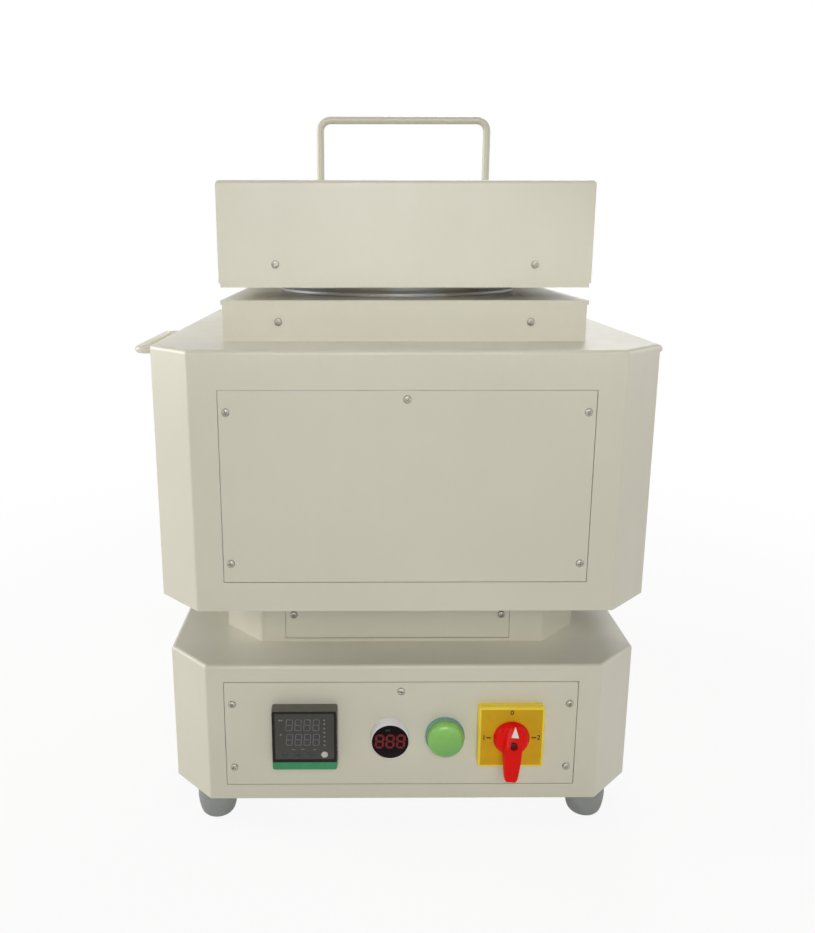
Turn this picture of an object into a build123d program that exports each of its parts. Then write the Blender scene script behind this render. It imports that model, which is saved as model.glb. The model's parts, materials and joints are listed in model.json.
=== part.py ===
from build123d import *
import math
import os

# Free-standing electric furnace that melts metal in a crucible, with a lift-off lid.
# Millimetres. +Z is up, the front faces -Y, and the origin is on the floor under the plan's centre.

# Folded sheet
sheet = 1.5
bend = 3.0
seam = 0.6
slip = 0.2
hole_reach = 3 * sheet

# Flats that stand in for a round. Running fits and the gland's bore stay truly round
round_sides = 48
device_sides = 32
foot_sides = 24

# Backing frames behind the flush covers
frame_sheet = 2.0
frame_lap = 8.0
frame_lip = 13.0

# Feet
foot_radius = 15.0
foot_height = 23.0
foot_taper = 7.0
foot_taper_in = 3.5
foot_side_inset = 33.0
foot_front_inset = 20.0
foot_pocket_radius = 4.6
foot_pocket_depth = 12.0
foot_bore = 2.6

# Control box
base_width = 350.0
base_height = 109.0
base_corner = 31.0
floor_sheet = 2.0
wire_opening = 80.0
vent_length = 46.0
vent_width = 4.0
vent_pitch = 11.0
vent_count = 6
vent_x = -70.0
vent_up = 58.0

# Control panel
panel_x = -2.0
panel_width = 258.0
panel_height = 83.2
panel_low = 12.2
panel_screw_side = 5.5
panel_screw_top = 17.3
panel_screw_bottom = 14.4
panel_screw_centre = 7.0

# Temperature controller
controller_size = 48.0
controller_x = -72.4
controller_up = 54.3
controller_proud = 9.5
controller_face_step = 4.5
controller_draft = 0.5
controller_corner = 0.8
controller_frame = 1.9
controller_strip = 6.4
window_recess = 1.0
window_sheet = 0.7
window_gap = 0.15
case_size = 44.6
case_depth = 78.0
key_sides = 8
case_fit = 0.3
clip_wall = 3.5
clip_depth = 9.0
key_radius = 2.5
key_pitch = 9.7
key_count = 4
key_down = 11.5
key_proud = 0.3
key_length = 2.2
key_travel = 0.5
key_fit = 0.1
key_floor = 0.3

# Round panel devices
device_up = 53.0
device_barrel = 11.0
device_barrel_length = 34.0
device_nut_radius = 14.5
device_nut_length = 6.0
device_fit = 0.15
meter_x = -10.1
meter_radius = 14.0
meter_proud = 9.5
meter_rim = 1.2
meter_recess = 1.2
meter_window_sheet = 0.9
lamp_x = 30.5
lamp_radius = 14.4
lamp_ring_proud = 4.0
lamp_lens_radius = 13.4
lamp_lens_edge = 8.5
lamp_lens_proud = 11.5
lamp_crown = ((1.0, 0.0), (0.8, 0.62), (0.45, 0.93), (0.15, 1.0))
lamp_seat = 2.0

# Rotary switch
switch_x = 78.4
switch_up = 54.8
switch_turned = 5.0
switch_plate_size = 48.0
switch_plate_proud = 7.0
switch_plate_corner = 1.5
switch_body_size = 44.0
switch_body_depth = 58.0
switch_body_corner = 5.0
switch_shaft_radius = 4.0
switch_shaft_seat = 14.0
switch_shaft_fit = 0.05
switch_shaft_room = 1.5
switch_handle_gap = 0.3
switch_hub_radius = 13.2
switch_hub_front_radius = 11.2
switch_hub_proud = 12.5
switch_hub_edge = 1.0
switch_grip_proud = 19.0
switch_reach = 24.4
switch_grip_length = 26.0
switch_grip_root = 12.4
switch_grip_tip = 8.6
switch_grip_tip_depth = 8.5
switch_grip_head = 12.0
switch_grip_under = 13.5
switch_grip_sink = 3.0
switch_grip_heel = 9.7
switch_grip_round = 1.8
switch_screw_radius = 1.0
switch_screw_head = 2.4
switch_screw_head_height = 1.4
switch_screw_sink = 2.5
switch_screw_fit = 0.1
switch_screw_end = 1.5
switch_socket_depth = 6.5

# Inside the control box
rail_length = 210.0
rail_width = 35.0
rail_height = 7.5
rail_channel = 25.0
rail_sheet = 1.0
rail_y = 20.0
contactor_x = -40.0
contactor_width = 45.0
contactor_depth = 78.0
contactor_shelf = 47.0
contactor_height = 76.0
contactor_top_width = 41.0
contactor_top_depth = 48.0
contactor_lane = 12.6
contactor_lanes = 3
contactor_notch_width = 7.0
contactor_notch_depth = 9.0
contactor_notch_sink = 6.0
terminal_x = 70.0
terminal_pitch = 10.0
terminal_count = 6
terminal_width = 9.6
terminal_depth = 42.0
terminal_shelf = 22.0
terminal_height = 32.0
terminal_top_depth = 21.0
gland_x = 105.0
gland_up = 46.0
gland_reach = 24.0
gland_radius = 12.0
gland_hex = 13.0
gland_bore = 5.0
gland_thread = 9.8
gland_nut_length = 5.0
gland_stem_end = 2.0
gland_hex_length = 6.0
gland_cap_taper = 3.5
gland_sides = 12
gland_fit = 0.2

# Neck
neck_inset = 38.0
neck_corner = 30.0
neck_height = 44.0
neck_flange = 18.0
neck_cover_x = -3.3
neck_cover_width = 170.0
neck_cover_margin = 3.0
neck_screw_side = 6.0

# Furnace housing
housing_overhang = 3.0
housing_corner = 31.0
housing_height = 185.5
floor_opening = 40.0
cover_width = 254.0
cover_height = 136.2
cover_low = 22.0
cover_screw_side = 5.0
cover_screw_top = 14.7
cover_screw_bottom = 13.6
cover_screw_centre = 5.8

# Handles of bent rod
rod_radius = 3.0
rod_sides = 8
rod_bend = 8.5
rod_bend_runs = 4
side_handle_span = 120.0
side_handle_standoff = 36.0
side_handle_down = 15.5
side_handle_inside = 8.0
lid_handle_x = 4.4
lid_handle_width = 143.0
lid_handle_height = 58.0
lid_handle_inside = 8.0
lid_nut_room = 2.0
handle_nut_radius = 6.0
handle_nut_length = 5.0
rod_fit = 0.2
nut_fit = 0.1

# Heating chamber
chamber_radius = 60.0
muffle_wall = 9.0
muffle_fit = 0.3
insulation_width = 310.0
insulation_corner = 40.0
hearth_height = 40.0
coil_thickness = 1.5
coil_width = 8.0
coil_pitch = 17.0
coil_turns = 5
coil_runs = 24
coil_start = 26.0
coil_fit = 0.4
coil_room = 4.0
stand_radius = 38.0
stand_height = 15.0
crucible_radius = 45.0
crucible_foot_radius = 35.0
crucible_height = 104.0
crucible_wall = 8.0
sheath_radius = 3.5
sheath_fit = 0.2
sheath_sides = 12
sheath_inside = 6.0
sensor_head_width = 26.0
sensor_head_depth = 18.0
sensor_head_height = 20.0

# Collar and mouth
collar_width = 259.0
collar_height = 26.0
collar_plate = 3.0
collar_insulation_gap = 6.0
collar_overhang = 1.0
collar_screw_x = 90.0
collar_screw_up = 13.8
collar_flange = 20.0
mouth_radius = 62.0
ring_radius = 98.0
ring_bore = 88.0
ring_height = 9.0

# Lid
lid_width = 262.0
lid_height = 70.0
lid_plate = 3.0
lid_plate_inset = 1.0
lid_insulation_gap = 6.0
lid_flange = 20.0
lid_screw_x = 91.0
lid_screw_up = 13.1
plug_radius = 56.0
plug_depth = 36.0
plug_chamfer = 4.0
plug_fit = 0.6

# Screws and nuts
screw_sides = 8
shank_sides = 6
screw_head_radius = 2.8
screw_head_height = 1.7
screw_head_edge = 0.6
screw_radius = 1.45
screw_length = 6.0
screw_clear = 1.8
screw_tapped = 1.55
foot_screw_radius = 2.5
foot_screw_head = 4.3
foot_screw_head_height = 2.6
foot_screw_rise = 8.0
foot_nut_height = 4.0
nut_sides = 6

# Heights above the floor, from the feet up
base_z = foot_height
base_top = base_z + base_height
housing_z = base_top + neck_height
housing_top = housing_z + housing_height
collar_plate_z = housing_top + collar_height
collar_top = collar_plate_z + collar_plate
ring_top = collar_top + ring_height
lid_z = ring_top + lid_plate
lid_top = lid_z + lid_height

# Plan sizes
neck_width = base_width - 2 * neck_inset
housing_width = base_width + 2 * housing_overhang
muffle_radius = chamber_radius + muffle_wall
coil_inner = muffle_radius + coil_fit
insulation_bore = coil_inner + coil_thickness + coil_room
hearth_z = housing_z + floor_sheet
chamber_z = hearth_z + hearth_height

# Faces that carry the parts on the front
base_face = -base_width / 2
housing_face = -housing_width / 2
neck_face = -neck_width / 2

MIN = (Align.CENTER, Align.CENTER, Align.MIN)


def front(x, y, z):
    """Frame whose own Z points out of a front face, with its own Y up."""
    return Location(Plane((x, y, z), x_dir=(1, 0, 0), z_dir=(0, -1, 0)))


def rear(x, y, z):
    """Frame whose own Z points out of a rear face, with its own Y up."""
    return Location(Plane((x, y, z), x_dir=(-1, 0, 0), z_dir=(0, 1, 0)))


def disc(radius, low, high):
    """Round solid between two heights."""
    return Pos(0, 0, low) * Cylinder(radius, high - low, align=MIN)


def post(radius, sides, low, high):
    """Many-sided solid between two heights, its corners on this radius."""
    return extrude(Pos(0, 0, low) * RegularPolygon(radius, sides), high - low)


def tube(outer, inner, low, high):
    """Many-sided tube between two heights."""
    return post(outer, round_sides, low, high) - post(inner, round_sides, low, high)


def tapered(radius, top_radius, sides, low, high):
    """Many-sided solid between two heights that narrows or widens upwards."""
    step = abs(radius - top_radius) * math.cos(math.pi / sides)
    taper = math.degrees(math.atan2(step, high - low))
    body = extrude(RegularPolygon(max(radius, top_radius), sides), high - low, taper=taper)
    if radius < top_radius:
        return Pos(0, 0, high) * Rot(180, 0, 0) * body
    return Pos(0, 0, low) * body


def slab(width, depth, low, high):
    """Rectangular solid between two heights."""
    return extrude(Pos(0, 0, low) * Rectangle(width, depth), high - low)


def plan(width, corner, radius=0.0):
    """Square with its corners cut at 45 degrees, or whole where corner is 0."""
    face = Rectangle(width, width)
    if corner > 0:
        face = chamfer(face.vertices(), corner)
    if radius > 0:
        face = fillet(face.vertices(), radius)
    return face


def inset_corner(corner, inset):
    """Length of a 45 degree corner once every side has moved in by inset."""
    return max(corner - inset * (2 - math.sqrt(2)), 0.0)


def prism(width, corner, low, high, radius=0.0):
    """Upright solid on the cut-corner plan."""
    return extrude(Pos(0, 0, low) * plan(width, corner, radius), high - low)


def folded_box(width, corner, low, high):
    """Box folded from sheet, open below, rounded round its top and at its 45 degree folds."""
    outer = prism(width, corner, low, high)
    folds = outer.faces().sort_by(Axis.Z)[-1].edges()
    if corner > 0:
        folds += outer.edges().filter_by(Axis.Z)
    return fillet(folds, bend) - prism(width - 2 * sheet, inset_corner(corner, sheet), low, high - sheet)


def wall(width, corner, low, high, radius=0.0):
    """Sheet wall, open above and below."""
    outer = prism(width, corner, low, high, radius)
    return outer - prism(width - 2 * sheet, inset_corner(corner, sheet), low, high)


def inner_plate(width, corner, low, high):
    """Plate that fits inside a folded wall of this outside width."""
    inset = sheet + slip
    return prism(width - 2 * inset, inset_corner(corner, inset), low, high, bend)


def pan_screw():
    """Small screw, its head's underside at 0 and its shank going down."""
    head = post(screw_head_radius, screw_sides, 0, screw_head_height)
    head = chamfer(head.faces().sort_by(Axis.Z)[-1].edges(), screw_head_edge)
    return head + post(screw_radius, shank_sides, -screw_length, 0)


def holes(places, radius, low, high, sides=shank_sides):
    """Cutters at (x, y) places, with as many sides as what goes through them."""
    return [Pos(x, y, 0) * post(radius, sides, low, high) for x, y in places]


def cut(body, cutters):
    """Body less each cutter in turn."""
    for cutter in cutters:
        body = body - cutter
    return body


def cover_screw_places(width, height, side, top, bottom, centre):
    """Five screw places from a cover's centre: one above the middle and one near each corner."""
    x = width / 2 - side
    upper = height / 2 - top
    lower = bottom - height / 2
    return [(0, height / 2 - centre), (-x, upper), (x, upper), (-x, lower), (x, lower)]


def write(solids, name):
    """Writes one node, which may hold several separate solids."""
    shape = solids if isinstance(solids, (Part, Solid)) else Compound(children=list(solids))
    export_step(shape, f"parts/{name}.step")


# Control box

panel_place = front(panel_x, base_face, base_z + panel_low + panel_height / 2)
panel_screws_at = cover_screw_places(
    panel_width, panel_height, panel_screw_side, panel_screw_top, panel_screw_bottom,
    panel_screw_centre)


def cover_opening(width, height):
    """Cutter for the hole that a flush cover fills."""
    return slab(width + 2 * seam, height + 2 * seam, -hole_reach, hole_reach)


def backing_frame(width, height, places):
    """Frame welded behind the wall, which the cover lies on and is screwed to."""
    outer = slab(width + 2 * frame_lap, height + 2 * frame_lap, -sheet - frame_sheet, -sheet)
    inner = slab(width - 2 * frame_lip, height - 2 * frame_lip, -sheet - frame_sheet, -sheet)
    return cut(outer - inner, holes(places, screw_tapped, -sheet - frame_sheet, -sheet))


def flush_cover(width, height, places):
    """Cover plate level with the wall round it."""
    return cut(slab(width, height, -sheet, 0), holes(places, screw_clear, -sheet, 0))


def foot_places():
    x = base_width / 2 - foot_side_inset
    y = base_width / 2 - foot_front_inset
    return [(-x, -y), (x, -y), (-x, y), (x, y)]


def base_shell():
    shell = folded_box(base_width, base_corner, base_z, base_top)
    shell -= slab(wire_opening, wire_opening, base_top - hole_reach, base_top)
    shell -= panel_place * cover_opening(panel_width, panel_height)
    vents = rear(vent_x, base_width / 2, base_z + vent_up)
    for index in range(vent_count):
        x = (index - (vent_count - 1) / 2) * vent_pitch
        shell -= vents * Pos(x, 0) * slab(vent_width, vent_length, -hole_reach, hole_reach)
    shell -= gland_place() * post(gland_thread + gland_fit, gland_sides, -hole_reach, hole_reach)
    return shell


def base_floor_plate():
    plate = inner_plate(base_width, base_corner, base_z, base_z + floor_sheet)
    return cut(plate, holes(foot_places(), foot_bore, base_z, base_z + floor_sheet))


def rubber_foot():
    """Round foot, drawn in below, with a pocket for the head of its screw."""
    foot = post(foot_radius, foot_sides, 0, foot_height)
    tread = foot.faces().sort_by(Axis.Z)[0]
    foot = chamfer(tread.edges(), foot_taper_in, foot_taper, reference=tread)
    foot -= post(foot_pocket_radius, screw_sides, 0, foot_pocket_depth)
    return foot - post(foot_bore, shank_sides, foot_pocket_depth, foot_height)


def foot_screw():
    """Screw up through a foot and the floor plate, with its nut on top."""
    low = foot_pocket_depth - foot_screw_head_height
    high = base_z + floor_sheet + foot_screw_rise
    nut_low = base_z + floor_sheet
    shank = post(foot_screw_radius, shank_sides, foot_pocket_depth, high)
    nut = post(foot_screw_head, nut_sides, nut_low, nut_low + foot_nut_height)
    return post(foot_screw_head, screw_sides, low, foot_pocket_depth) + shank + nut


def control_panel():
    plate = flush_cover(panel_width, panel_height, panel_screws_at)
    middle = base_z + panel_low + panel_height / 2
    hole = case_size + 2 * case_fit
    plate -= Pos(controller_x - panel_x, base_z + controller_up - middle) * slab(hole, hole, -sheet, 0)
    for x in (meter_x, lamp_x):
        hole = post(device_barrel + device_fit, device_sides, -sheet, 0)
        plate -= Pos(x - panel_x, base_z + device_up - middle) * hole
    switch_hole = disc(switch_shaft_radius + switch_shaft_room, -sheet, 0)
    plate -= Pos(switch_x - panel_x, base_z + switch_up - middle) * switch_hole
    return panel_place * plate


# Temperature controller

controller_place = front(controller_x, base_face, base_z + controller_up)
window_width = controller_size - 2 * controller_frame
window_height = controller_size - controller_frame - controller_strip
window_y = (controller_strip - controller_frame) / 2
window_floor = controller_proud - window_recess
key_hole_floor = window_floor + window_sheet + key_proud - key_length - key_travel - key_floor


def key_places():
    first = -(key_count - 1) / 2 * key_pitch
    return [(first + index * key_pitch, -key_down) for index in range(key_count)]


def controller_bezel():
    """Front of the controller, drawn in a little over its outer half."""
    step = controller_proud - controller_face_step
    body = slab(controller_size, controller_size, 0, step)
    wide = Pos(0, 0, step) * Rectangle(controller_size, controller_size)
    narrow_size = controller_size - 2 * controller_draft
    narrow = Pos(0, 0, controller_proud) * Rectangle(narrow_size, narrow_size)
    body += loft([wide, narrow])
    body = chamfer(body.edges().filter_by(Axis.Z), controller_corner)
    body -= Pos(0, window_y) * slab(window_width, window_height, window_floor, controller_proud)
    return cut(body, holes(key_places(), key_radius + key_fit, key_hole_floor, controller_proud, key_sides))


def controller_window():
    width = window_width - 2 * window_gap
    height = window_height - 2 * window_gap
    high = window_floor + window_sheet
    face = Pos(0, window_y) * slab(width, height, window_floor, high)
    return cut(face, holes(key_places(), key_radius + key_fit, window_floor, high, key_sides))


def controller_key(place):
    top = window_floor + window_sheet + key_proud
    return Pos(*place) * post(key_radius, key_sides, top - key_length, top)


def controller_clip():
    """Clamp that slides over the case and holds the controller against the panel."""
    inner = case_size + 2 * case_fit
    outer = inner + 2 * clip_wall
    low = -sheet - clip_depth
    return slab(outer, outer, low, -sheet) - slab(inner, inner, low, -sheet)


# Round panel devices

meter_place = front(meter_x, base_face, base_z + device_up)
lamp_place = front(lamp_x, base_face, base_z + device_up)


def meter_bezel():
    body = post(meter_radius, device_sides, 0, meter_proud)
    body += post(device_barrel, device_sides, -device_barrel_length, 0)
    recess = post(meter_radius - meter_rim, device_sides, meter_proud - meter_recess, meter_proud)
    return body - recess


def meter_window():
    low = meter_proud - meter_recess
    return post(meter_radius - meter_rim - device_fit, device_sides, low, low + meter_window_sheet)


def device_nut():
    """Plastic nut that holds a round device from behind."""
    low = -sheet - device_nut_length
    nut = post(device_nut_radius, nut_sides, low, -sheet)
    return nut - post(device_barrel + device_fit, device_sides, low, -sheet)


def lamp_ring():
    body = post(lamp_radius, device_sides, 0, lamp_ring_proud)
    body += post(device_barrel, device_sides, -device_barrel_length, 0)
    return body - post(lamp_lens_radius + device_fit, device_sides, lamp_seat, lamp_ring_proud)


def lamp_lens():
    """Lens with a straight side under a shallow crown, which goes up in steps."""
    lens = post(lamp_lens_radius, device_sides, lamp_seat, lamp_lens_edge)
    rise = lamp_lens_proud - lamp_lens_edge
    steps = [(lamp_lens_radius * share, lamp_lens_edge + rise * level) for share, level in lamp_crown]
    for (radius, low), (top_radius, high) in zip(steps, steps[1:]):
        lens += tapered(radius, top_radius, device_sides, low, high)
    return lens


# Rotary switch

switch_place = front(switch_x, base_face, base_z + switch_up)
switch_turned_place = switch_place * Rot(0, 0, -switch_turned)


def switch_plate():
    plate = slab(switch_plate_size, switch_plate_size, 0, switch_plate_proud)
    plate = chamfer(plate.edges().filter_by(Axis.Z), switch_plate_corner)
    return plate - disc(switch_shaft_radius + switch_shaft_fit, 0, switch_plate_proud)


def switch_body():
    """Housing of the contact decks behind the panel, with a bearing for the shaft."""
    low = -sheet - switch_body_depth
    body = slab(switch_body_size, switch_body_size, low, -sheet)
    body = chamfer(body.edges().filter_by(Axis.Z), switch_body_corner)
    return body - disc(switch_shaft_radius + switch_shaft_fit, -sheet - switch_shaft_seat, -sheet)


def switch_shaft():
    low = -sheet - switch_shaft_seat
    high = switch_plate_proud + switch_handle_gap + switch_socket_depth
    shaft = disc(switch_shaft_radius, low, high)
    hole = post(switch_screw_radius + switch_screw_fit, shank_sides, high - switch_socket_depth, high)
    return shaft - hole


def grip_side():
    """Side outline of the pistol grip, its length along Y and its proudness along Z."""
    sink = switch_hub_proud - switch_grip_sink
    tip = -switch_grip_length
    nose = [(tip, switch_reach), (tip, switch_reach - switch_grip_tip_depth)]
    heel = [(-switch_hub_front_radius, switch_grip_under), (-switch_grip_heel, sink)]
    outline = [(switch_grip_head, sink), (0, switch_grip_proud)] + nose + heel
    face = make_face(Plane.YZ * Polyline(*outline, close=True))
    proud = face.vertices().filter_by(lambda corner: corner.Z > switch_hub_proud)
    return fillet(proud, switch_grip_round)


def grip_front():
    """Front outline of the grip: a round head that narrows to a round tip."""
    root = switch_grip_root / 2
    tip = switch_grip_tip / 2
    low = tip - switch_grip_length
    high = switch_grip_head - tip
    waist = -switch_hub_front_radius
    right = Polyline((tip, low), (root, waist), (root, 0), (tip, high))
    head = ThreePointArc((tip, high), (0, switch_grip_head), (-tip, high))
    left = Polyline((-tip, high), (-root, 0), (-root, waist), (-tip, low))
    end = ThreePointArc((-tip, low), (0, -switch_grip_length), (tip, low))
    return make_face(right + head + left + end)


handle_low = switch_plate_proud + switch_handle_gap
handle_socket = handle_low + switch_socket_depth
handle_seat = switch_grip_proud - switch_screw_sink


def switch_handle():
    """Pistol handle: a tapered round hub with a raised grip across it that overhangs the plate."""
    shoulder = switch_hub_proud - switch_hub_edge
    hub = tapered(switch_hub_radius, switch_hub_front_radius, round_sides, handle_low, shoulder)
    face_radius = switch_hub_front_radius - switch_hub_edge
    hub += tapered(switch_hub_front_radius, face_radius, round_sides, shoulder, switch_hub_proud)
    grip = extrude(grip_side(), switch_grip_root, both=True) & extrude(grip_front(), switch_reach)
    handle = hub + grip
    handle -= disc(switch_shaft_radius + switch_shaft_fit, handle_low, handle_socket)
    handle -= post(switch_screw_head + 2 * switch_screw_fit, screw_sides, handle_seat, switch_reach)
    return handle - post(switch_screw_radius + switch_screw_fit, shank_sides, handle_socket, handle_seat)


def switch_handle_screw():
    head = post(switch_screw_head, screw_sides, handle_seat, handle_seat + switch_screw_head_height)
    return head + post(switch_screw_radius, shank_sides, handle_low + switch_screw_end, handle_seat)


# Inside the control box

inside_z = base_z + floor_sheet


def mounting_rail():
    """Top-hat rail screwed flat to the floor plate."""
    brim = slab(rail_length, rail_width, rail_height - rail_sheet, rail_height)
    hat = slab(rail_length, rail_channel + 2 * rail_sheet, 0, rail_height)
    channel = slab(rail_length, rail_channel, rail_sheet, rail_height)
    return Pos(0, rail_y, inside_z) * (brim + hat - channel)


def contactor():
    """Switching relay on the rail, with a shelf of screw terminals on each side of its top."""
    low = inside_z + rail_height
    shelf = low + contactor_shelf
    body = slab(contactor_width, contactor_depth, low, shelf)
    body += slab(contactor_top_width, contactor_top_depth, shelf, low + contactor_height)
    notch = slab(contactor_notch_width, contactor_notch_depth, shelf - contactor_notch_sink, shelf)
    for y in (-1, 1):
        for lane in range(contactor_lanes):
            x = (lane - (contactor_lanes - 1) / 2) * contactor_lane
            body -= Pos(x, y * (contactor_depth + contactor_top_depth) / 4) * notch
    return Pos(contactor_x, rail_y) * body


def terminal_block():
    """Row of stepped terminals on the rail."""
    low = inside_z + rail_height
    terminal = slab(terminal_width, terminal_depth, low, low + terminal_shelf)
    terminal += slab(terminal_width, terminal_top_depth, low + terminal_shelf, low + terminal_height)
    first = terminal_x - (terminal_count - 1) / 2 * terminal_pitch
    return [Pos(first + index * terminal_pitch, rail_y) * terminal for index in range(terminal_count)]


def gland_place():
    return rear(gland_x, base_width / 2, base_z + gland_up)


def mains_gland():
    """Cable gland: stem through the wall, hexagon and clamping cap outside, nut inside."""
    nut_low = -sheet - gland_nut_length
    stem_low = nut_low - gland_stem_end
    cap_low = gland_hex_length
    body = post(gland_thread, gland_sides, stem_low, 0) + post(gland_hex, nut_sides, 0, cap_low)
    cap = post(gland_radius, gland_sides, cap_low, gland_reach)
    body += chamfer(cap.faces().sort_by(Axis.Z)[-1].edges(), gland_cap_taper)
    body += post(gland_hex, nut_sides, nut_low, -sheet)
    return gland_place() * (body - disc(gland_bore, stem_low, gland_reach))


# Neck

neck_cover_height = neck_height - 2 * neck_cover_margin
neck_place = front(neck_cover_x, neck_face, base_top + neck_height / 2)
neck_screws_at = [(side * (neck_cover_width / 2 - neck_screw_side), 0) for side in (-1, 1)]


def neck_shell():
    """Octagonal wall, a flange turned in at each end, a strip welded behind each end of its cover."""
    shell = wall(neck_width, neck_corner, base_top, housing_z, bend)
    opening = neck_width - 2 * neck_flange
    for low in (base_top, housing_z - sheet):
        flange = prism(neck_width - sheet, inset_corner(neck_corner, sheet / 2), low, low + sheet)
        shell += flange - prism(opening, inset_corner(neck_corner, neck_flange), low, low + sheet)
    shell -= neck_place * cover_opening(neck_cover_width, neck_cover_height)
    strip_height = neck_height - 2 * (sheet + slip)
    strip = slab(frame_lap + frame_lip, strip_height, -sheet - frame_sheet, -sheet)
    for side in (-1, 1):
        strip_x = side * (neck_cover_width + frame_lap - frame_lip) / 2
        shell += neck_place * Pos(strip_x, 0) * strip
    tapped = holes(neck_screws_at, screw_tapped, -hole_reach, hole_reach)
    return cut(shell, [neck_place * hole for hole in tapped])


# Furnace housing

cover_place = front(0, housing_face, housing_z + cover_low + cover_height / 2)
cover_screws_at = cover_screw_places(
    cover_width, cover_height, cover_screw_side, cover_screw_top, cover_screw_bottom,
    cover_screw_centre)
side_handle_z = housing_top - side_handle_down


def side_handle_holes(radius):
    """Cutters across both side walls, one for each leg of each handle."""
    y = side_handle_span / 2 - rod_radius
    cutter = Rot(0, 90, 0) * post(radius, rod_sides, -housing_width, housing_width)
    return [Pos(0, side * y, side_handle_z) * cutter for side in (-1, 1)]


def housing_shell():
    shell = folded_box(housing_width, housing_corner, housing_z, housing_top)
    opening = 2 * (muffle_radius + muffle_fit)
    shell -= slab(opening, opening, housing_top - hole_reach, housing_top)
    shell -= cover_place * cover_opening(cover_width, cover_height)
    return cut(shell, side_handle_holes(rod_radius + rod_fit))


def housing_floor():
    plate = inner_plate(housing_width, housing_corner, housing_z, housing_z + floor_sheet)
    return plate - slab(floor_opening, floor_opening, housing_z, housing_z + floor_sheet)


def bend_points(before, corner, after):
    """Points of a right-angled bend that is drawn as short straight runs."""
    arriving = (Vector(*corner) - Vector(*before)).normalized()
    leaving = (Vector(*after) - Vector(*corner)).normalized()
    centre = Vector(*corner) + (leaving - arriving) * rod_bend
    turns = [math.pi / 2 * run / rod_bend_runs for run in range(rod_bend_runs + 1)]
    return [centre + (arriving * math.sin(turn) - leaving * math.cos(turn)) * rod_bend for turn in turns]


def bent_rod(points):
    """Rod along a route with bent corners."""
    stops = [points[0]]
    for before, corner, after in zip(points, points[1:], points[2:]):
        stops += bend_points(before, corner, after)
    route = Polyline(*stops, points[-1])
    start = Plane(origin=route @ 0, z_dir=route % 0)
    section = start * RegularPolygon(rod_radius, rod_sides)
    return sweep(section, path=route, transition=Transition.RIGHT)


def side_handle(side):
    face = side * housing_width / 2
    start = face - side * (sheet + side_handle_inside)
    out = face + side * (side_handle_standoff - rod_radius)
    y = side_handle_span / 2 - rod_radius
    z = side_handle_z
    return bent_rod([(start, -y, z), (out, -y, z), (out, y, z), (start, y, z)])


def hex_nut(bore):
    """Nut standing on 0."""
    nut = post(handle_nut_radius, nut_sides, 0, handle_nut_length)
    return nut - post(bore, rod_sides, 0, handle_nut_length)


def side_handle_nuts():
    nuts = []
    for side in (-1, 1):
        for end in (-1, 1):
            x = side * (housing_width / 2 - sheet)
            y = end * (side_handle_span / 2 - rod_radius)
            place = Plane((x, y, side_handle_z), z_dir=(-side, 0, 0))
            nuts.append(Location(place) * hex_nut(rod_radius + nut_fit))
    return nuts


# Heating chamber

def hearth_slab():
    return prism(insulation_width, insulation_corner, hearth_z, chamber_z)


def sensor_height():
    """Height halfway between two passes of the coil at the rear, a quarter turn past its start."""
    middle_turn = coil_turns // 2
    return chamber_z + coil_start + (middle_turn + 1 / 4 + 1 / 2) * coil_pitch


def sensor_hole(radius):
    return Pos(0, 0, sensor_height()) * Rot(-90, 0, 0) * post(radius, sheath_sides, 0, housing_width)


def wall_insulation():
    body = prism(insulation_width, insulation_corner, chamber_z, housing_top - sheet)
    body -= post(insulation_bore, round_sides, chamber_z, housing_top - sheet)
    return body - sensor_hole(sheath_radius + sheath_fit)


def muffle():
    """Ceramic tube that the coil is wound on, from the hearth up to the collar's plate."""
    wall_of_tube = tube(muffle_radius, chamber_radius, chamber_z, collar_plate_z)
    return wall_of_tube - sensor_hole(sheath_radius + sheath_fit)


def coil_corner(radius, run):
    """Point at the end of a straight run of the coil, at this distance from the axis."""
    angle = 2 * math.pi * run / coil_runs
    height = chamber_z + coil_start + coil_pitch * run / coil_runs
    return Vector(radius * math.cos(angle), radius * math.sin(angle), height)


def strip_face(start, end):
    """Face of the strip between two of its long edges."""
    return Face.make_surface_from_curves(Edge.make_line(*start), Edge.make_line(*end))


def heating_coil():
    """Flat resistance strip wound round the muffle as one piece, in straight runs that clear it."""
    inner = coil_inner / math.cos(math.pi / coil_runs)
    outer = (coil_inner + coil_thickness) / math.cos(math.pi / coil_runs)
    half = Vector(0, 0, coil_width / 2)
    stations = []
    for run in range(coil_turns * coil_runs + 1):
        near, far = coil_corner(inner, run), coil_corner(outer, run)
        stations.append([near - half, far - half, far + half, near + half])
    faces = [Face(Wire.make_polygon(stations[0])), Face(Wire.make_polygon(stations[-1]))]
    for this, after in zip(stations, stations[1:]):
        for side in range(len(this)):
            other = (side + 1) % len(this)
            faces.append(strip_face((this[side], after[side]), (this[other], after[other])))
    return Solid(Shell(faces))


def crucible_stand():
    return post(stand_radius, round_sides, chamber_z, chamber_z + stand_height)


def crucible():
    """Tapered pot, its inside drawn in at the bottom."""
    low = chamber_z + stand_height
    high = low + crucible_height
    slope = (crucible_radius - crucible_foot_radius) / crucible_height
    bottom = low + 2 * crucible_wall
    bottom_radius = crucible_foot_radius + slope * 2 * crucible_wall - crucible_wall
    mouth = crucible_radius - crucible_wall
    pot = tapered(crucible_foot_radius, crucible_radius, round_sides, low, high)
    pot -= tapered(bottom_radius, mouth, round_sides, bottom, high)
    return pot - tapered(
        bottom_radius - crucible_wall, bottom_radius, round_sides, low + crucible_wall, bottom)


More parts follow.
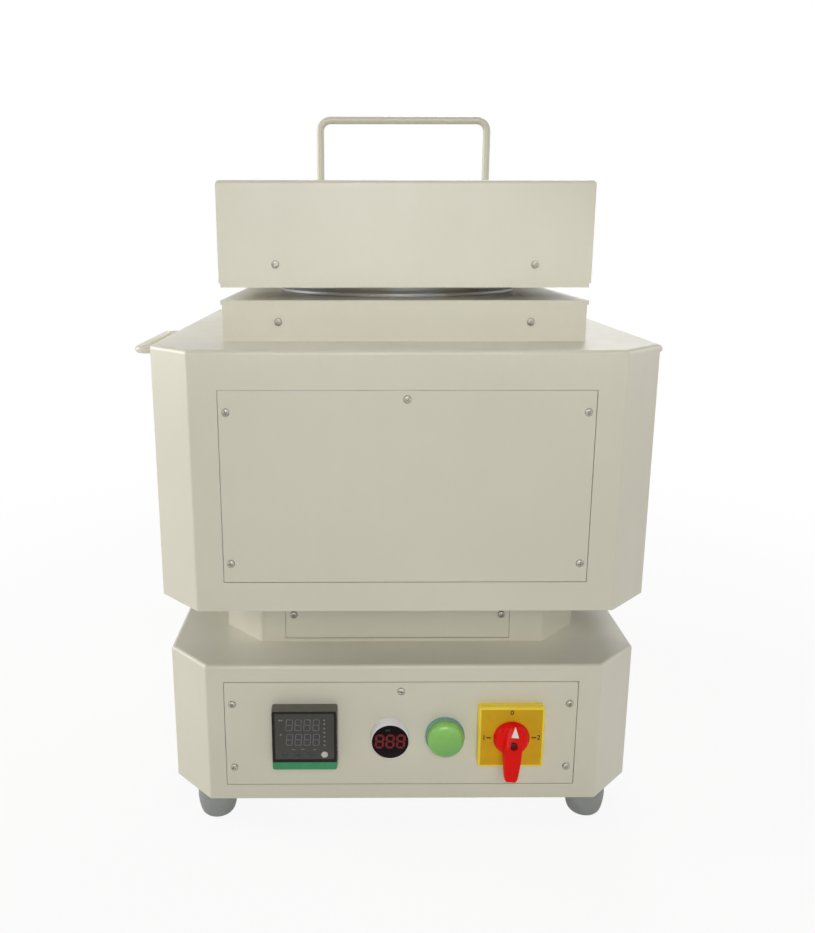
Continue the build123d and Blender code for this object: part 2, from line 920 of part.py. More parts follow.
def thermocouple():
    """Ceramic sheath through the rear insulation with its connection head in the air gap."""
    z = sensor_height()
    tip = chamber_radius - sheath_inside
    face = insulation_width / 2
    sheath = Pos(0, 0, z) * Rot(-90, 0, 0) * post(sheath_radius, sheath_sides, tip, face)
    head = Box(sensor_head_width, sensor_head_depth, sensor_head_height)
    return sheath + Pos(0, face + sensor_head_depth / 2, z) * head


# Collar and mouth

def side_screws(width, x, z, face_out):
    """Two screws in the front face and two in the rear face of a square box."""
    screws = []
    for place in (front(0, -width / 2, z), rear(0, width / 2, z)):
        for side in (-1, 1):
            screws.append(place * Pos(side * x, 0) * face_out)
    return screws


def pan(width, box_width, low, high, flange):
    """Square plate with four flanges, down where flange is negative, that fit inside a box's walls."""
    plate = slab(width, width, low, high)
    start, end = (low + flange, low) if flange < 0 else (high, high + flange)
    face = box_width / 2 - sheet - slip
    length = 2 * (face - bend)
    for turn in range(4):
        side = Rot(0, 0, 90 * turn) * Pos(0, sheet / 2 - face) * slab(length, sheet, start, end)
        plate += side
    return plate


collar_screw_z = housing_top + collar_screw_up


def collar_shell():
    hole = post(screw_clear, shank_sides, -hole_reach, hole_reach)
    places = side_screws(collar_width, collar_screw_x, collar_screw_z, hole)
    return cut(wall(collar_width, 0, housing_top, collar_plate_z), places)


def collar_top_plate():
    """Plate under the mouth ring, with flanges that the collar's screws go into."""
    width = collar_width + 2 * collar_overhang
    plate = pan(width, collar_width, collar_plate_z, collar_top, -collar_flange)
    plate -= post(mouth_radius, round_sides, collar_plate_z, collar_top)
    hole = post(screw_tapped, shank_sides, -hole_reach, hole_reach)
    return cut(plate, side_screws(collar_width, collar_screw_x, collar_screw_z, hole))


def collar_insulation():
    width = collar_width - 2 * screw_length - 2 * collar_insulation_gap
    block = slab(width, width, housing_top, collar_plate_z)
    return block - post(muffle_radius + muffle_fit, round_sides, housing_top, collar_plate_z)


def mouth_ring():
    """Steel ring that the lid rests on."""
    return tube(ring_radius, ring_bore, collar_top, ring_top)


# Lid

lid_screw_z = lid_z + lid_screw_up
lid_legs_apart = lid_handle_width - 2 * rod_radius
lid_legs_x = [lid_handle_x - lid_legs_apart / 2, lid_handle_x + lid_legs_apart / 2]


def lid_leg_holes(radius, low, high):
    return holes([(x, 0) for x in lid_legs_x], radius, low, high, rod_sides)


def lid_shell():
    shell = folded_box(lid_width, 0, lid_z, lid_top)
    shell = cut(shell, lid_leg_holes(rod_radius + rod_fit, lid_top - hole_reach, lid_top))
    hole = post(screw_clear, shank_sides, -hole_reach, hole_reach)
    return cut(shell, side_screws(lid_width, lid_screw_x, lid_screw_z, hole))


def lid_bottom_plate():
    """Plate that closes the lid below, with flanges that the lid's screws go into."""
    plate = pan(lid_width - 2 * lid_plate_inset, lid_width, ring_top, lid_z, lid_flange)
    plate -= post(plug_radius + plug_fit, round_sides, ring_top, lid_z)
    hole = post(screw_tapped, shank_sides, -hole_reach, hole_reach)
    return cut(plate, side_screws(lid_width, lid_screw_x, lid_screw_z, hole))


def lid_insulation():
    """Block that fills the lid, with the round plug that goes down into the mouth."""
    width = lid_width - 2 * screw_length - 2 * lid_insulation_gap
    block = slab(width, width, lid_z, lid_top - sheet)
    plug = post(plug_radius, round_sides, ring_top - plug_depth, lid_z)
    plug = chamfer(plug.faces().sort_by(Axis.Z)[0].edges(), plug_chamfer)
    floor = lid_top - sheet - lid_handle_inside - lid_nut_room
    return cut(block + plug, lid_leg_holes(handle_nut_radius + lid_nut_room, floor, lid_top))


def lid_handle():
    foot = lid_top - sheet - lid_handle_inside
    top = lid_top + lid_handle_height - rod_radius
    left, right = lid_legs_x
    return bent_rod([(left, 0, foot), (left, 0, top), (right, 0, top), (right, 0, foot)])


def lid_handle_nuts():
    low = lid_top - sheet - handle_nut_length
    return [Pos(x, 0, low) * hex_nut(rod_radius + nut_fit) for x in lid_legs_x]


def write_control_box():
    write(base_shell(), "base_shell")
    write(base_floor_plate(), "base_floor_plate")
    write([Pos(x, y) * rubber_foot() for x, y in foot_places()], "rubber_feet")
    write([Pos(x, y) * foot_screw() for x, y in foot_places()], "foot_screws")
    write(panel_place * backing_frame(panel_width, panel_height, panel_screws_at), "control_panel_frame")
    write(control_panel(), "control_panel")
    write([panel_place * Pos(x, y) * pan_screw() for x, y in panel_screws_at], "control_panel_screws")
    write(mounting_rail(), "mounting_rail")
    write(contactor(), "contactor")
    write(terminal_block(), "terminal_block")
    write(mains_gland(), "mains_gland")


def write_panel_devices():
    write(controller_place * controller_bezel(), "controller_bezel")
    write(controller_place * controller_window(), "controller_window")
    write(controller_place * slab(case_size, case_size, -case_depth, 0), "controller_case")
    write(controller_place * controller_clip(), "controller_clip")
    for number, place in enumerate(key_places(), 1):
        write(controller_place * controller_key(place), f"controller_key_{number}")
    write(meter_place * meter_bezel(), "meter_bezel")
    write(meter_place * meter_window(), "meter_window")
    write(meter_place * device_nut(), "meter_nut")
    write(lamp_place * lamp_ring(), "pilot_lamp_ring")
    write(lamp_place * lamp_lens(), "pilot_lamp_lens")
    write(lamp_place * device_nut(), "pilot_lamp_nut")
    write(switch_place * switch_plate(), "switch_plate")
    write(switch_place * switch_body(), "switch_body")
    write(switch_turned_place * switch_shaft(), "switch_shaft")
    write(switch_turned_place * switch_handle(), "switch_handle")
    write(switch_turned_place * switch_handle_screw(), "switch_handle_screw")


def write_furnace():
    write(neck_shell(), "neck_shell")
    neck_cover = flush_cover(neck_cover_width, neck_cover_height, neck_screws_at)
    write(neck_place * neck_cover, "neck_cover")
    write([neck_place * Pos(x, y) * pan_screw() for x, y in neck_screws_at], "neck_cover_screws")
    write(housing_shell(), "housing_shell")
    write(housing_floor(), "housing_floor")
    write(cover_place * backing_frame(cover_width, cover_height, cover_screws_at), "front_cover_frame")
    write(cover_place * flush_cover(cover_width, cover_height, cover_screws_at), "front_cover")
    write([cover_place * Pos(x, y) * pan_screw() for x, y in cover_screws_at], "front_cover_screws")
    write(side_handle(-1), "side_handle_left")
    write(side_handle(1), "side_handle_right")
    write(side_handle_nuts(), "side_handle_nuts")
    write(hearth_slab(), "hearth_slab")
    write(wall_insulation(), "wall_insulation")
    write(muffle(), "muffle")
    write(heating_coil(), "heating_coil")
    write(crucible_stand(), "crucible_stand")
    write(crucible(), "crucible")
    write(thermocouple(), "thermocouple")


def write_collar_and_lid():
    write(collar_shell(), "collar_shell")
    write(collar_top_plate(), "collar_top_plate")
    write(collar_insulation(), "collar_insulation")
    write(side_screws(collar_width, collar_screw_x, collar_screw_z, pan_screw()), "collar_screws")
    write(mouth_ring(), "mouth_ring")
    write(lid_shell(), "lid_shell")
    write(lid_bottom_plate(), "lid_bottom_plate")
    write(lid_insulation(), "lid_insulation")
    write(side_screws(lid_width, lid_screw_x, lid_screw_z, pan_screw()), "lid_screws")
    write(lid_handle(), "lid_handle")
    write(lid_handle_nuts(), "lid_handle_nuts")


os.makedirs("parts", exist_ok=True)
write_control_box()
write_panel_devices()
write_furnace()
write_collar_and_lid()
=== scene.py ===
import json
import math

import bmesh
import bpy
from bpy.props import FloatProperty, FloatVectorProperty, IntProperty, PointerProperty
from mathutils import Matrix, Vector


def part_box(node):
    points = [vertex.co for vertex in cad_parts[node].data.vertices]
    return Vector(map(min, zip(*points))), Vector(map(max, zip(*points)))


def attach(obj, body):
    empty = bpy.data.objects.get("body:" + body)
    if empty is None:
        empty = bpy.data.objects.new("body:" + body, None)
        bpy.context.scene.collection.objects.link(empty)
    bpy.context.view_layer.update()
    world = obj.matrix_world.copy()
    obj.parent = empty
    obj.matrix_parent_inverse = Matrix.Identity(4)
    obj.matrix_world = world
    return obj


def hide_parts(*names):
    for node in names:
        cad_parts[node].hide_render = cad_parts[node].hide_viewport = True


bl_info = {
    "name": "Metal melting furnace",
    "version": (1, 0, 0),
    "blender": (4, 5, 0),
    "location": "View3D > Sidebar > Furnace",
    "description": "Finishes and fine pieces of a free-standing crucible furnace",
    "category": "Object",
}

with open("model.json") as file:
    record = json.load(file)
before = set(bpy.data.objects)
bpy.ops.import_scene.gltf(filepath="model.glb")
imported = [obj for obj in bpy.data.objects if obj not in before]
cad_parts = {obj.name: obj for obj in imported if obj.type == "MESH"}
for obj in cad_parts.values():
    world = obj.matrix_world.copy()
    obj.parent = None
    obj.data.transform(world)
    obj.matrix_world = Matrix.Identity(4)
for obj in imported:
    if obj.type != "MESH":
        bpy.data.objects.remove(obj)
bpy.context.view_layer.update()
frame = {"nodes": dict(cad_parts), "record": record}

# Metres in a millimetre. The pieces' own sizes are in mm, and their angles in degrees.
MM = 0.001


def linear(code):
    """Linear RGB of an sRGB hex colour."""
    values = [int(code[place:place + 2], 16) / 255 for place in (0, 2, 4)]
    return [v / 12.92 if v <= 0.04045 else ((v + 0.055) / 1.055) ** 2.4 for v in values]


def colour_property(name, description, code):
    return FloatVectorProperty(
        name=name, description=description, subtype="COLOR", size=3, min=0.0, max=1.0,
        default=linear(code))


def length_property(name, description, millimetres):
    return FloatProperty(
        name=name, description=description, subtype="DISTANCE", unit="LENGTH", min=0.0,
        precision=5, default=millimetres * MM)


def power_property(name, watts):
    return FloatProperty(
        name=name, description="Power in watts", subtype="POWER", default=watts, min=0.0)


class FurnaceColours(bpy.types.PropertyGroup):
    """Colours that someone who repaints the furnace would change."""

    paint: colour_property("Powder coat", "Sheet and rods outside", "dcd8c5")
    rubber: colour_property("Rubber", "Feet", "969895")
    case: colour_property("Controller case", "Moulded bezel of the controller", "5d5a52")
    window: colour_property("Controller window", "Smoked plate over the display", "36312c")
    strip: colour_property("Controller strip", "Band under the controller's display", "2f8e58")
    segment: colour_property("Display segments", "Unlit segments of the controller", "63656b")
    pale_key: colour_property("Pale key", "Fourth key of the controller", "c8c9be")
    meter: colour_property("Meter bezel", "Moulded ring of the round meter", "f7f5f9")
    meter_segment: colour_property("Meter segments", "Dim red segments of the meter", "761318")
    lamp_ring: colour_property("Lamp ring", "Base ring of the pilot lamp", "76a696")
    lamp_lens: colour_property("Lamp lens", "Domed lens of the pilot lamp", "93d45f")
    plate: colour_property("Switch plate", "Moulded edge of the switch plate", "ffe03c")
    legend: colour_property("Switch legend", "Foil on the switch plate", "dbac1c")
    handle: colour_property("Switch handle", "Pistol handle of the switch", "ee120a")
    mouth: colour_property("Mouth ring", "Turned steel under the lid", "ccd0d8")


class FurnaceSizes(bpy.types.PropertyGroup):
    """Sizes of what is finer than the sheet metal work."""

    orange_peel: length_property("Orange peel", "Distance between the powder coat's ripples", 2.4)
    recess_length: length_property("Cross recess", "Length of the recess in a screw's head", 3.4)
    recess_width: length_property("Recess width", "Width of one slot of the recess", 0.8)
    recess_depth: length_property("Recess depth", "Depth of the recess", 0.9)
    edge_round: length_property("Edge round", "Rounding of moulded and turned edges", 0.5)
    digit_height: length_property("Display digit", "Height of the controller's digits", 9.4)
    digit_width: length_property("Digit width", "Width of the controller's digits", 5.0)
    digit_pitch: length_property("Digit pitch", "Distance between the controller's digits", 6.5)
    meter_digit_height: length_property("Meter digit", "Height of the meter's digits", 11.4)
    meter_digit_width: length_property("Meter digit width", "Width of the meter's digits", 6.8)
    round_sides: IntProperty(
        name="Round sides", description="Sides of a turned piece", default=72, min=24, max=160)


class FurnaceStage(bpy.types.PropertyGroup):
    """Camera and lamps."""

    focal: FloatProperty(
        name="Focal length", description="Lens for a 36 mm high sensor, in mm", default=32.75,
        min=1.0)
    camera_place: FloatVectorProperty(
        name="Camera", description="Where the camera stands", subtype="TRANSLATION", unit="LENGTH",
        size=3, precision=4, default=(-0.0319, -0.7358, 0.4348))
    pitch: FloatProperty(
        name="Pitch", description="How far the camera looks down", subtype="ANGLE",
        default=math.radians(12.826))
    yaw: FloatProperty(
        name="Yaw", description="How far the camera looks to the right", subtype="ANGLE",
        default=math.radians(0.297))
    shift_x: FloatProperty(
        name="Shift X", description="Sideways shift, in heights of the picture", default=0.0465)
    shift_y: FloatProperty(
        name="Shift Y", description="Upward shift, in heights of the picture", default=-0.0397)
    left: power_property("Left lamp", 24.0)
    right: power_property("Right lamp", 7.0)
    front: power_property("Front lamp", 7.9)
    rear: power_property("Rear lamp", 11.0)
    overhead: power_property("Overhead lamp", 1.5)
    beam: power_property("Narrow lamp on the lid", 0.016)
    sky: FloatProperty(
        name="Surroundings", description="Strength of the plain pale surroundings", default=0.12,
        min=0.0)


# Materials

SHADER_SOCKETS = {
    "metallic": "Metallic", "roughness": "Roughness", "ior": "IOR",
    "specular": "Specular IOR Level", "coat": "Coat Weight", "coat_roughness": "Coat Roughness",
    "subsurface": "Subsurface Weight", "subsurface_radius": "Subsurface Radius",
    "subsurface_scale": "Subsurface Scale",
}

# The middle of a noise's values, which most of them lie in.
NOISE_MIDDLE = {"From Min": 0.35, "From Max": 0.65}


def add_node(tree, kind, settings=None, inputs=None):
    """Adds a node with its settings. An input is a value, or a node or socket that it links to."""
    node = tree.nodes.new(kind)
    for name, value in (settings or {}).items():
        setattr(node, name, value)
    for name, value in (inputs or {}).items():
        socket = node.inputs[name]
        if isinstance(value, bpy.types.Node):
            tree.links.new(value.outputs[0], socket)
        elif isinstance(value, bpy.types.NodeSocket):
            tree.links.new(value, socket)
        elif socket.type == "RGBA":
            socket.default_value = (*value, 1.0)
        else:
            socket.default_value = value
    return node


def start_material(name, **inputs):
    """New material with its shader and Object coordinates."""
    material = bpy.data.materials.new(name)
    material.use_nodes = True
    tree = material.node_tree
    tree.nodes.clear()
    shader = add_node(tree, "ShaderNodeBsdfPrincipled", inputs={
        SHADER_SOCKETS[key]: value for key, value in inputs.items()})
    add_node(tree, "ShaderNodeOutputMaterial", inputs={"Surface": shader})
    place = add_node(tree, "ShaderNodeTexCoord").outputs["Object"]
    return material, tree, shader, place


def shade(colour, share):
    """The colour times a share, kept under 1."""
    return tuple(min(value * share, 1.0) for value in colour)


def lumps(place, spacing, detail=2.0):
    """Inputs of a noise whose lumps lie this many mm apart."""
    return {"Vector": place, "Scale": 1 / (spacing * MM), "Detail": detail, "Roughness": 0.55}


def drift(tree, pattern, first, second, span=(0.0, 1.0)):
    """Colour that drifts with a pattern from the first to the second, between these two shares."""
    share = add_node(tree, "ShaderNodeMapRange", inputs={
        "Value": pattern, **NOISE_MIDDLE, "To Min": span[0], "To Max": span[1]})
    mix = add_node(tree, "ShaderNodeMix", {"data_type": "RGBA"}, {0: share, 6: first, 7: second})
    return mix.outputs[2]


def surface(tree, shader, colour, ripple, depth, gloss=None):
    """Gives the shader a colour, ripples this many mm deep and, where it is uneven, its gloss as a
    pattern with its two roughnesses."""
    tree.links.new(colour, shader.inputs["Base Color"])
    bump = add_node(tree, "ShaderNodeBump", inputs={
        "Height": ripple, "Distance": depth * MM, "Strength": 1.0})
    tree.links.new(bump.outputs[0], shader.inputs["Normal"])
    if gloss:
        pattern, low, high = gloss
        roughness = add_node(tree, "ShaderNodeMapRange", inputs={
            "Value": pattern, **NOISE_MIDDLE, "To Min": low, "To Max": high})
        tree.links.new(roughness.outputs[0], shader.inputs["Roughness"])


def powder_coated_steel(colours, sizes):
    """Polyester powder sprayed dry and baked: semi-gloss, with an orange-peel ripple and faint
    streaks of wiped dust. The ripple is about 1 mm on the real sheet and is drawn wider here, so
    that it shows as a soft broken sheen."""
    material, tree, shader, place = start_material(
        "powder_coated_steel", ior=1.5, coat=0.3, coat_roughness=0.15)
    paint = tuple(colours.paint)
    cloud = add_node(tree, "ShaderNodeTexNoise", inputs=lumps(place, 140, detail=3.0))
    upright = add_node(tree, "ShaderNodeMapping", inputs={
        "Vector": place, "Scale": (1.0, 1.0, 0.12)})
    wipe = add_node(tree, "ShaderNodeTexNoise", inputs=lumps(upright, 20, detail=4.0))
    peel = add_node(tree, "ShaderNodeTexNoise", inputs=lumps(
        place, sizes.orange_peel / MM, detail=1.0))
    tone = drift(tree, cloud, shade(paint, 0.975), shade(paint, 1.015))
    dusty = (paint[0] * 0.94, paint[1] * 0.92, paint[2] * 0.86)
    tone = drift(tree, wipe, tone, dusty, span=(0.0, 0.10))
    surface(tree, shader, tone, peel, depth=0.03, gloss=(wipe, 0.40, 0.50))
    return material


def zinc_plated_sheet():
    """Cold-rolled sheet with a passivated zinc layer: satin, faintly cloudy and streaked."""
    material, tree, shader, place = start_material("zinc_plated_sheet", metallic=1.0)
    rolled = add_node(tree, "ShaderNodeMapping", inputs={
        "Vector": place, "Scale": (0.06, 1.0, 1.0)})
    streak = add_node(tree, "ShaderNodeTexNoise", inputs=lumps(rolled, 4, detail=3.0))
    cloud = add_node(tree, "ShaderNodeTexNoise", inputs=lumps(place, 30))
    tone = drift(tree, cloud, linear("a9acae"), linear("bfc2c2"))
    surface(tree, shader, tone, streak, depth=0.02, gloss=(streak, 0.32, 0.5))
    return material


def turned_heat_tinted_steel(colours):
    """Steel ring faced on a lathe and blued by heat: fine rings from the tool under a blue-grey
    oxide that goes straw-coloured in patches. The tool's rings are well under 1 mm apart on the
    real ring, and the wave's scale draws them 2.4 mm apart, so that they show."""
    material, tree, shader, place = start_material("turned_heat_tinted_steel", metallic=0.35)
    rings = add_node(tree, "ShaderNodeTexWave", {"wave_type": "RINGS", "rings_direction": "Z"}, {
        "Vector": place, "Scale": 130.0, "Distortion": 0.4, "Detail": 1.0}).outputs["Fac"]
    oxide = add_node(tree, "ShaderNodeTexNoise", inputs=lumps(place, 35, detail=3.0))
    tone = drift(tree, oxide, tuple(colours.mouth), linear("c2beb6"))
    surface(tree, shader, tone, rings, depth=0.03, gloss=(rings, 0.30, 0.42))
    return material


def nickel_plated_steel():
    """Cold-headed screws with nickel: satin on the head, duller where a driver has turned."""
    material, tree, shader, place = start_material("nickel_plated_steel", metallic=1.0)
    wear = add_node(tree, "ShaderNodeTexNoise", inputs=lumps(place, 1.8, detail=3.0))
    worn = add_node(tree, "ShaderNodeMapRange", inputs={"Value": wear, **NOISE_MIDDLE})
    tone = drift(tree, wear, linear("928e84"), linear("bab6ab"))
    surface(tree, shader, tone, worn, depth=0.01, gloss=(worn, 0.40, 0.55))
    return material


def fibre_board():
    """Ceramic fibre vacuum-formed on a screen: chalky white, matt, with a felted pitted face."""
    material, tree, shader, place = start_material("vacuum_formed_fibre_board", roughness=0.95)
    felt = add_node(tree, "ShaderNodeTexNoise", inputs=lumps(place, 3, detail=5.0))
    surface(tree, shader, drift(tree, felt, linear("d9d4c8"), linear("efece4")), felt, depth=0.4)
    return material


def fired_refractory():
    """Cast and fired alumina ware: buff, matt and gritty, browned a little by the heat."""
    material, tree, shader, place = start_material("fired_refractory", roughness=0.85)
    grit = add_node(tree, "ShaderNodeTexNoise", inputs=lumps(place, 1.6, detail=4.0))
    scorch = add_node(tree, "ShaderNodeTexNoise", inputs=lumps(place, 50, detail=3.0))
    surface(tree, shader, drift(tree, scorch, linear("b9a78c"), linear("d8ccb6")), grit, depth=0.3)
    return material


def oxidised_resistance_strip():
    """Rolled resistance alloy after its first firing: dark brown-grey oxide, dull, with scale."""
    material, tree, shader, place = start_material("oxidised_resistance_strip", metallic=0.6)
    scale = add_node(tree, "ShaderNodeTexNoise", inputs=lumps(place, 4, detail=4.0))
    tone = drift(tree, scale, linear("3b3531"), linear("6a5f56"))
    surface(tree, shader, tone, scale, depth=0.1, gloss=(scale, 0.5, 0.75))
    return material


def clay_graphite():
    """Pressed clay graphite, fired and glazed thin: near black with silvery flakes about 2 mm
    wide, low sheen."""
    material, tree, shader, place = start_material("clay_graphite", ior=1.7)
    flakes = add_node(tree, "ShaderNodeTexVoronoi", inputs={"Vector": place, "Scale": 450.0})
    shine = add_node(tree, "ShaderNodeMapRange", inputs={
        "Value": flakes, "From Max": 0.6, "To Min": 1.0, "To Max": 0.0})
    tone = add_node(tree, "ShaderNodeMix", {"data_type": "RGBA"}, {
        0: shine, 6: linear("2b2a2a"), 7: linear("4d4b4a")}).outputs[2]
    grit = add_node(tree, "ShaderNodeTexNoise", inputs=lumps(place, 2, detail=4.0))
    surface(tree, shader, tone, grit, depth=0.2, gloss=(flakes, 0.45, 0.7))
    return material


def translucent_lens(colours):
    """Lens moulded in tinted polycarbonate: glossy and lit through. Towards its lower rim it is
    painted darker: painted shade, because less light falls on its lower part than on its top."""
    material, tree, shader, place = start_material(
        "moulded_translucent_polycarbonate", ior=1.58, roughness=0.3, coat=0.4,
        coat_roughness=0.3, subsurface=0.2, subsurface_scale=1.0,
        subsurface_radius=(4 * MM, 8 * MM, 3 * MM))
    green = tuple(colours.lamp_lens)
    cloud = add_node(tree, "ShaderNodeTexNoise", inputs=lumps(place, 9))
    tone = drift(tree, cloud, shade(green, 0.94), shade(green, 1.06))
    # Painted shade: a darker green whose share grows from nothing at the lens's top to most of its
    # colour at its lower rim.
    low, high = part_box("pilot_lamp_lens")
    height = add_node(tree, "ShaderNodeSeparateXYZ", inputs={"Vector": place}).outputs["Z"]
    depth = add_node(tree, "ShaderNodeMapRange", inputs={
        "Value": height, "From Min": low.z, "From Max": high.z, "To Min": 0.85, "To Max": 0.0})
    painted_shade_green = (green[0] * 0.35, green[1] * 0.55, green[2] * 0.5)
    tone = add_node(tree, "ShaderNodeMix", {"data_type": "RGBA"}, {
        0: depth, 6: tone, 7: painted_shade_green}).outputs[2]
    swell = add_node(tree, "ShaderNodeTexNoise", inputs=lumps(place, 4, detail=1.0))
    surface(tree, shader, tone, swell, depth=0.02)
    return material


def mottled(name, colour, roughness, cloud, change, uneven=0.05, peel=2.0, depth=0.01, **inputs):
    """Surface whose colour drifts by a share of change and whose roughness is this uneven. Its
    clouds and its ripples lie this many mm apart, and a ripple is this many mm deep."""
    material, tree, shader, place = start_material(name, **inputs)
    clouds = add_node(tree, "ShaderNodeTexNoise", inputs=lumps(place, cloud, detail=3.0))
    patches = add_node(tree, "ShaderNodeTexNoise", inputs=lumps(place, cloud / 5))
    ripples = add_node(tree, "ShaderNodeTexNoise", inputs=lumps(place, peel))
    tone = drift(tree, clouds, shade(colour, 1 - change), shade(colour, 1 + change))
    surface(tree, shader, tone, ripples, depth,
            gloss=(patches, roughness - uneven, roughness + uneven))
    return material


def moulded_and_printed(colours):
    """Plastics, rubbers, foils and inks. The real grain of a mould or a print is about 0.1 mm wide
    and is drawn 1 to 3 mm wide here, so that it shows."""
    return {
        # ABS from a spark-eroded mould: satin, with an even sandy grain.
        "case": mottled("moulded_abs_case", colours.case, 0.46, cloud=20, change=0.06, peel=1.2,
                        depth=0.03, ior=1.54),
        # Black ink screened on the back of a clear front: smooth, deep and little shine.
        "border": mottled("black_masked_border", linear("0e0d0b"), 0.3, cloud=20, change=0.06,
                          peel=1.2, ior=1.49, specular=0.25),
        # Grey ink screened thin: flat, with patches where the black shows through.
        "faint_mark": mottled("faint_printed_marks", linear("7c7870"), 0.45, cloud=4, change=0.15,
                              ior=1.5),
        # Dark green ink behind a tinted front: hardly seen, without shine.
        "meter_mark": mottled("dark_green_printed_mark", linear("1f3a2a"), 0.45, cloud=4,
                              change=0.15, ior=1.5, specular=0.25),
        # Screw deep in the handle's recess, dark and dull: its dark red colour is painted shade of
        # the recess and a painted reflection of the red handle about it.
        "screw_painted_shade": mottled("black_oxide_screw", linear("4a1f1a"), 0.5, cloud=2, change=0.2,
                              uneven=0.08, peel=1, depth=0.02, metallic=0.6),
        # Cast smoked acrylic: glossy, with the long slow swell of cast sheet.
        "window": mottled("smoked_acrylic_window", colours.window, 0.22, cloud=30, change=0.05,
                          uneven=0.04, peel=10, ior=1.49),
        # Polyester foil printed on its face: smooth and half glossy.
        "strip": mottled("printed_foil_strip", colours.strip, 0.34, cloud=15, change=0.06,
                         ior=1.5),
        # Segments screened in grey on the display: flat and a little uneven.
        "segment": mottled("screened_display_segments", colours.segment, 0.4, cloud=6,
                           change=0.18, ior=1.5),
        # Unlit diffusers of red diodes seen through a tint: dim and patchy.
        "meter_segment": mottled("dim_red_display_segments", colours.meter_segment, 0.35, cloud=4,
                                 change=0.25, ior=1.5, specular=0.25),
        # Moulded silicone rubber: matt, with a soft dusty face.
        "key": mottled("silicone_rubber_key", linear("3a3a39"), 0.62, cloud=4, change=0.08,
                       peel=1, depth=0.02, ior=1.43),
        # The same rubber in white, rubbed a little smoother by the finger.
        "pale_key": mottled("white_silicone_rubber_key", colours.pale_key, 0.5, cloud=4,
                            change=0.04, peel=1, depth=0.02, ior=1.43),
        # Polycarbonate from a polished mould: clean white, glossy under a clear skin.
        "meter": mottled("moulded_white_polycarbonate", colours.meter, 0.22, cloud=10,
                         change=0.02, uneven=0.04, peel=3, depth=0.02, ior=1.58, coat=0.3),
        # Acrylic tinted deep red: near black, with sharp highlights.
        "meter_window": mottled("dark_tinted_acrylic", linear("0f0604"), 0.14, cloud=10,
                                change=0.1, uneven=0.03, peel=10, ior=1.49, specular=0.08),
        # Polycarbonate from a fine mould: glossy, with a slight swell.
        "lamp_ring": mottled("moulded_teal_polycarbonate", colours.lamp_ring, 0.28, cloud=8,
                             change=0.06, peel=3, depth=0.02, ior=1.58),
        # Glass-filled polyamide: strong flat colour, satin, with a fine grain.
        "plate": mottled("moulded_yellow_polyamide", colours.plate, 0.36, cloud=12, change=0.03,
                         depth=0.03, ior=1.53, specular=0.3),
        # Anodised aluminium foil under a coloured lacquer: silky, without a metal's mirror.
        "legend": mottled("anodised_legend_foil", colours.legend, 0.42, cloud=10, change=0.05,
                          uneven=0.06, peel=1.5, depth=0.02, ior=1.5, specular=0.15),
        # Unfilled polyamide from a smooth mould: saturated red with a soft sheen.
        "handle": mottled("moulded_red_polyamide", colours.handle, 0.34, cloud=20, change=0.04,
                          uneven=0.04, peel=3, ior=1.53, specular=0.12),
        # Thick paint wiped into a recess: white and matt.
        "white_mark": mottled("white_inlay_paint", linear("f2efe8"), 0.5, cloud=3, change=0.03,
                              peel=1, ior=1.5),
        # Ink printed on the legend foil: dark and matt.
        "dark_mark": mottled("dark_printed_mark", linear("2e1e04"), 0.5, cloud=3, change=0.1,
                             peel=1, ior=1.5, specular=0.2),
        # Pressed phenolic: nearly black, with a coarse dull grain.
        "inner": mottled("moulded_dark_phenolic", linear("2f2f30"), 0.5, cloud=20, change=0.08,
                         uneven=0.06, peel=1.5, depth=0.04, ior=1.6),
        # Moulded polyamide of terminal blocks: plain grey, satin.
        "terminal": mottled("moulded_grey_polyamide", linear("9b9c98"), 0.5, cloud=20,
                            change=0.05, uneven=0.06, peel=1.5, depth=0.04, ior=1.53),
        # Moulded polyamide of cable glands: black, satin, with the mould's grain.
        "gland": mottled("moulded_black_polyamide", linear("171716"), 0.42, cloud=12, change=0.1,
                         uneven=0.06, peel=1.5, depth=0.04, ior=1.53),
        # Pressed rubber: dull grey, slightly rough, greyer where it has bloomed.
        "rubber": mottled("moulded_grey_rubber", colours.rubber, 0.68, cloud=12, change=0.07,
                          uneven=0.07, peel=1.8, depth=0.08, ior=1.52),
    }


MATERIALS = {}

SLOT_FINISHES = {
    "enamelled_sheet": "paint", "inner_sheet": "zinc", "handle_rod": "paint",
    "mouth_steel": "mouth", "screw_steel": "nickel", "foot_rubber": "rubber",
    "controller_case_plastic": "case", "controller_window_plastic": "window",
    "key_plastic": "key", "pale_key_plastic": "pale_key", "meter_plastic": "meter",
    "meter_lens_plastic": "meter_window", "lamp_ring_plastic": "lamp_ring",
    "lamp_lens_plastic": "lens", "switch_plate_plastic": "plate",
    "switch_handle_plastic": "handle", "inner_plastic": "inner", "terminal_plastic": "terminal",
    "gland_plastic": "gland", "insulation_board": "board", "muffle_ceramic": "refractory",
    "heating_strip": "strip_alloy", "crucible_clay": "graphite",
}


# Modelling helpers


def start(adder, name, **settings):
    """Adds a primitive with nothing else selected, puts its place in its mesh and opens it."""
    if bpy.context.object and bpy.context.object.mode == "EDIT":
        bpy.ops.object.mode_set(mode="OBJECT")
    bpy.ops.object.select_all(action="DESELECT")
    adder(**settings)
    bpy.ops.object.transform_apply(location=True, rotation=True, scale=True)
    piece = bpy.context.object
    piece.name = name
    piece.data.name = name
    bpy.ops.object.mode_set(mode="EDIT")
    return piece


def block(name, size, rise=0.0):
    """Box of this size about Z, its middle this far up."""
    piece = start(bpy.ops.mesh.primitive_cube_add, name, size=1)
    bpy.ops.transform.resize(value=size)
    bpy.ops.transform.translate(value=(0, 0, rise))
    return piece


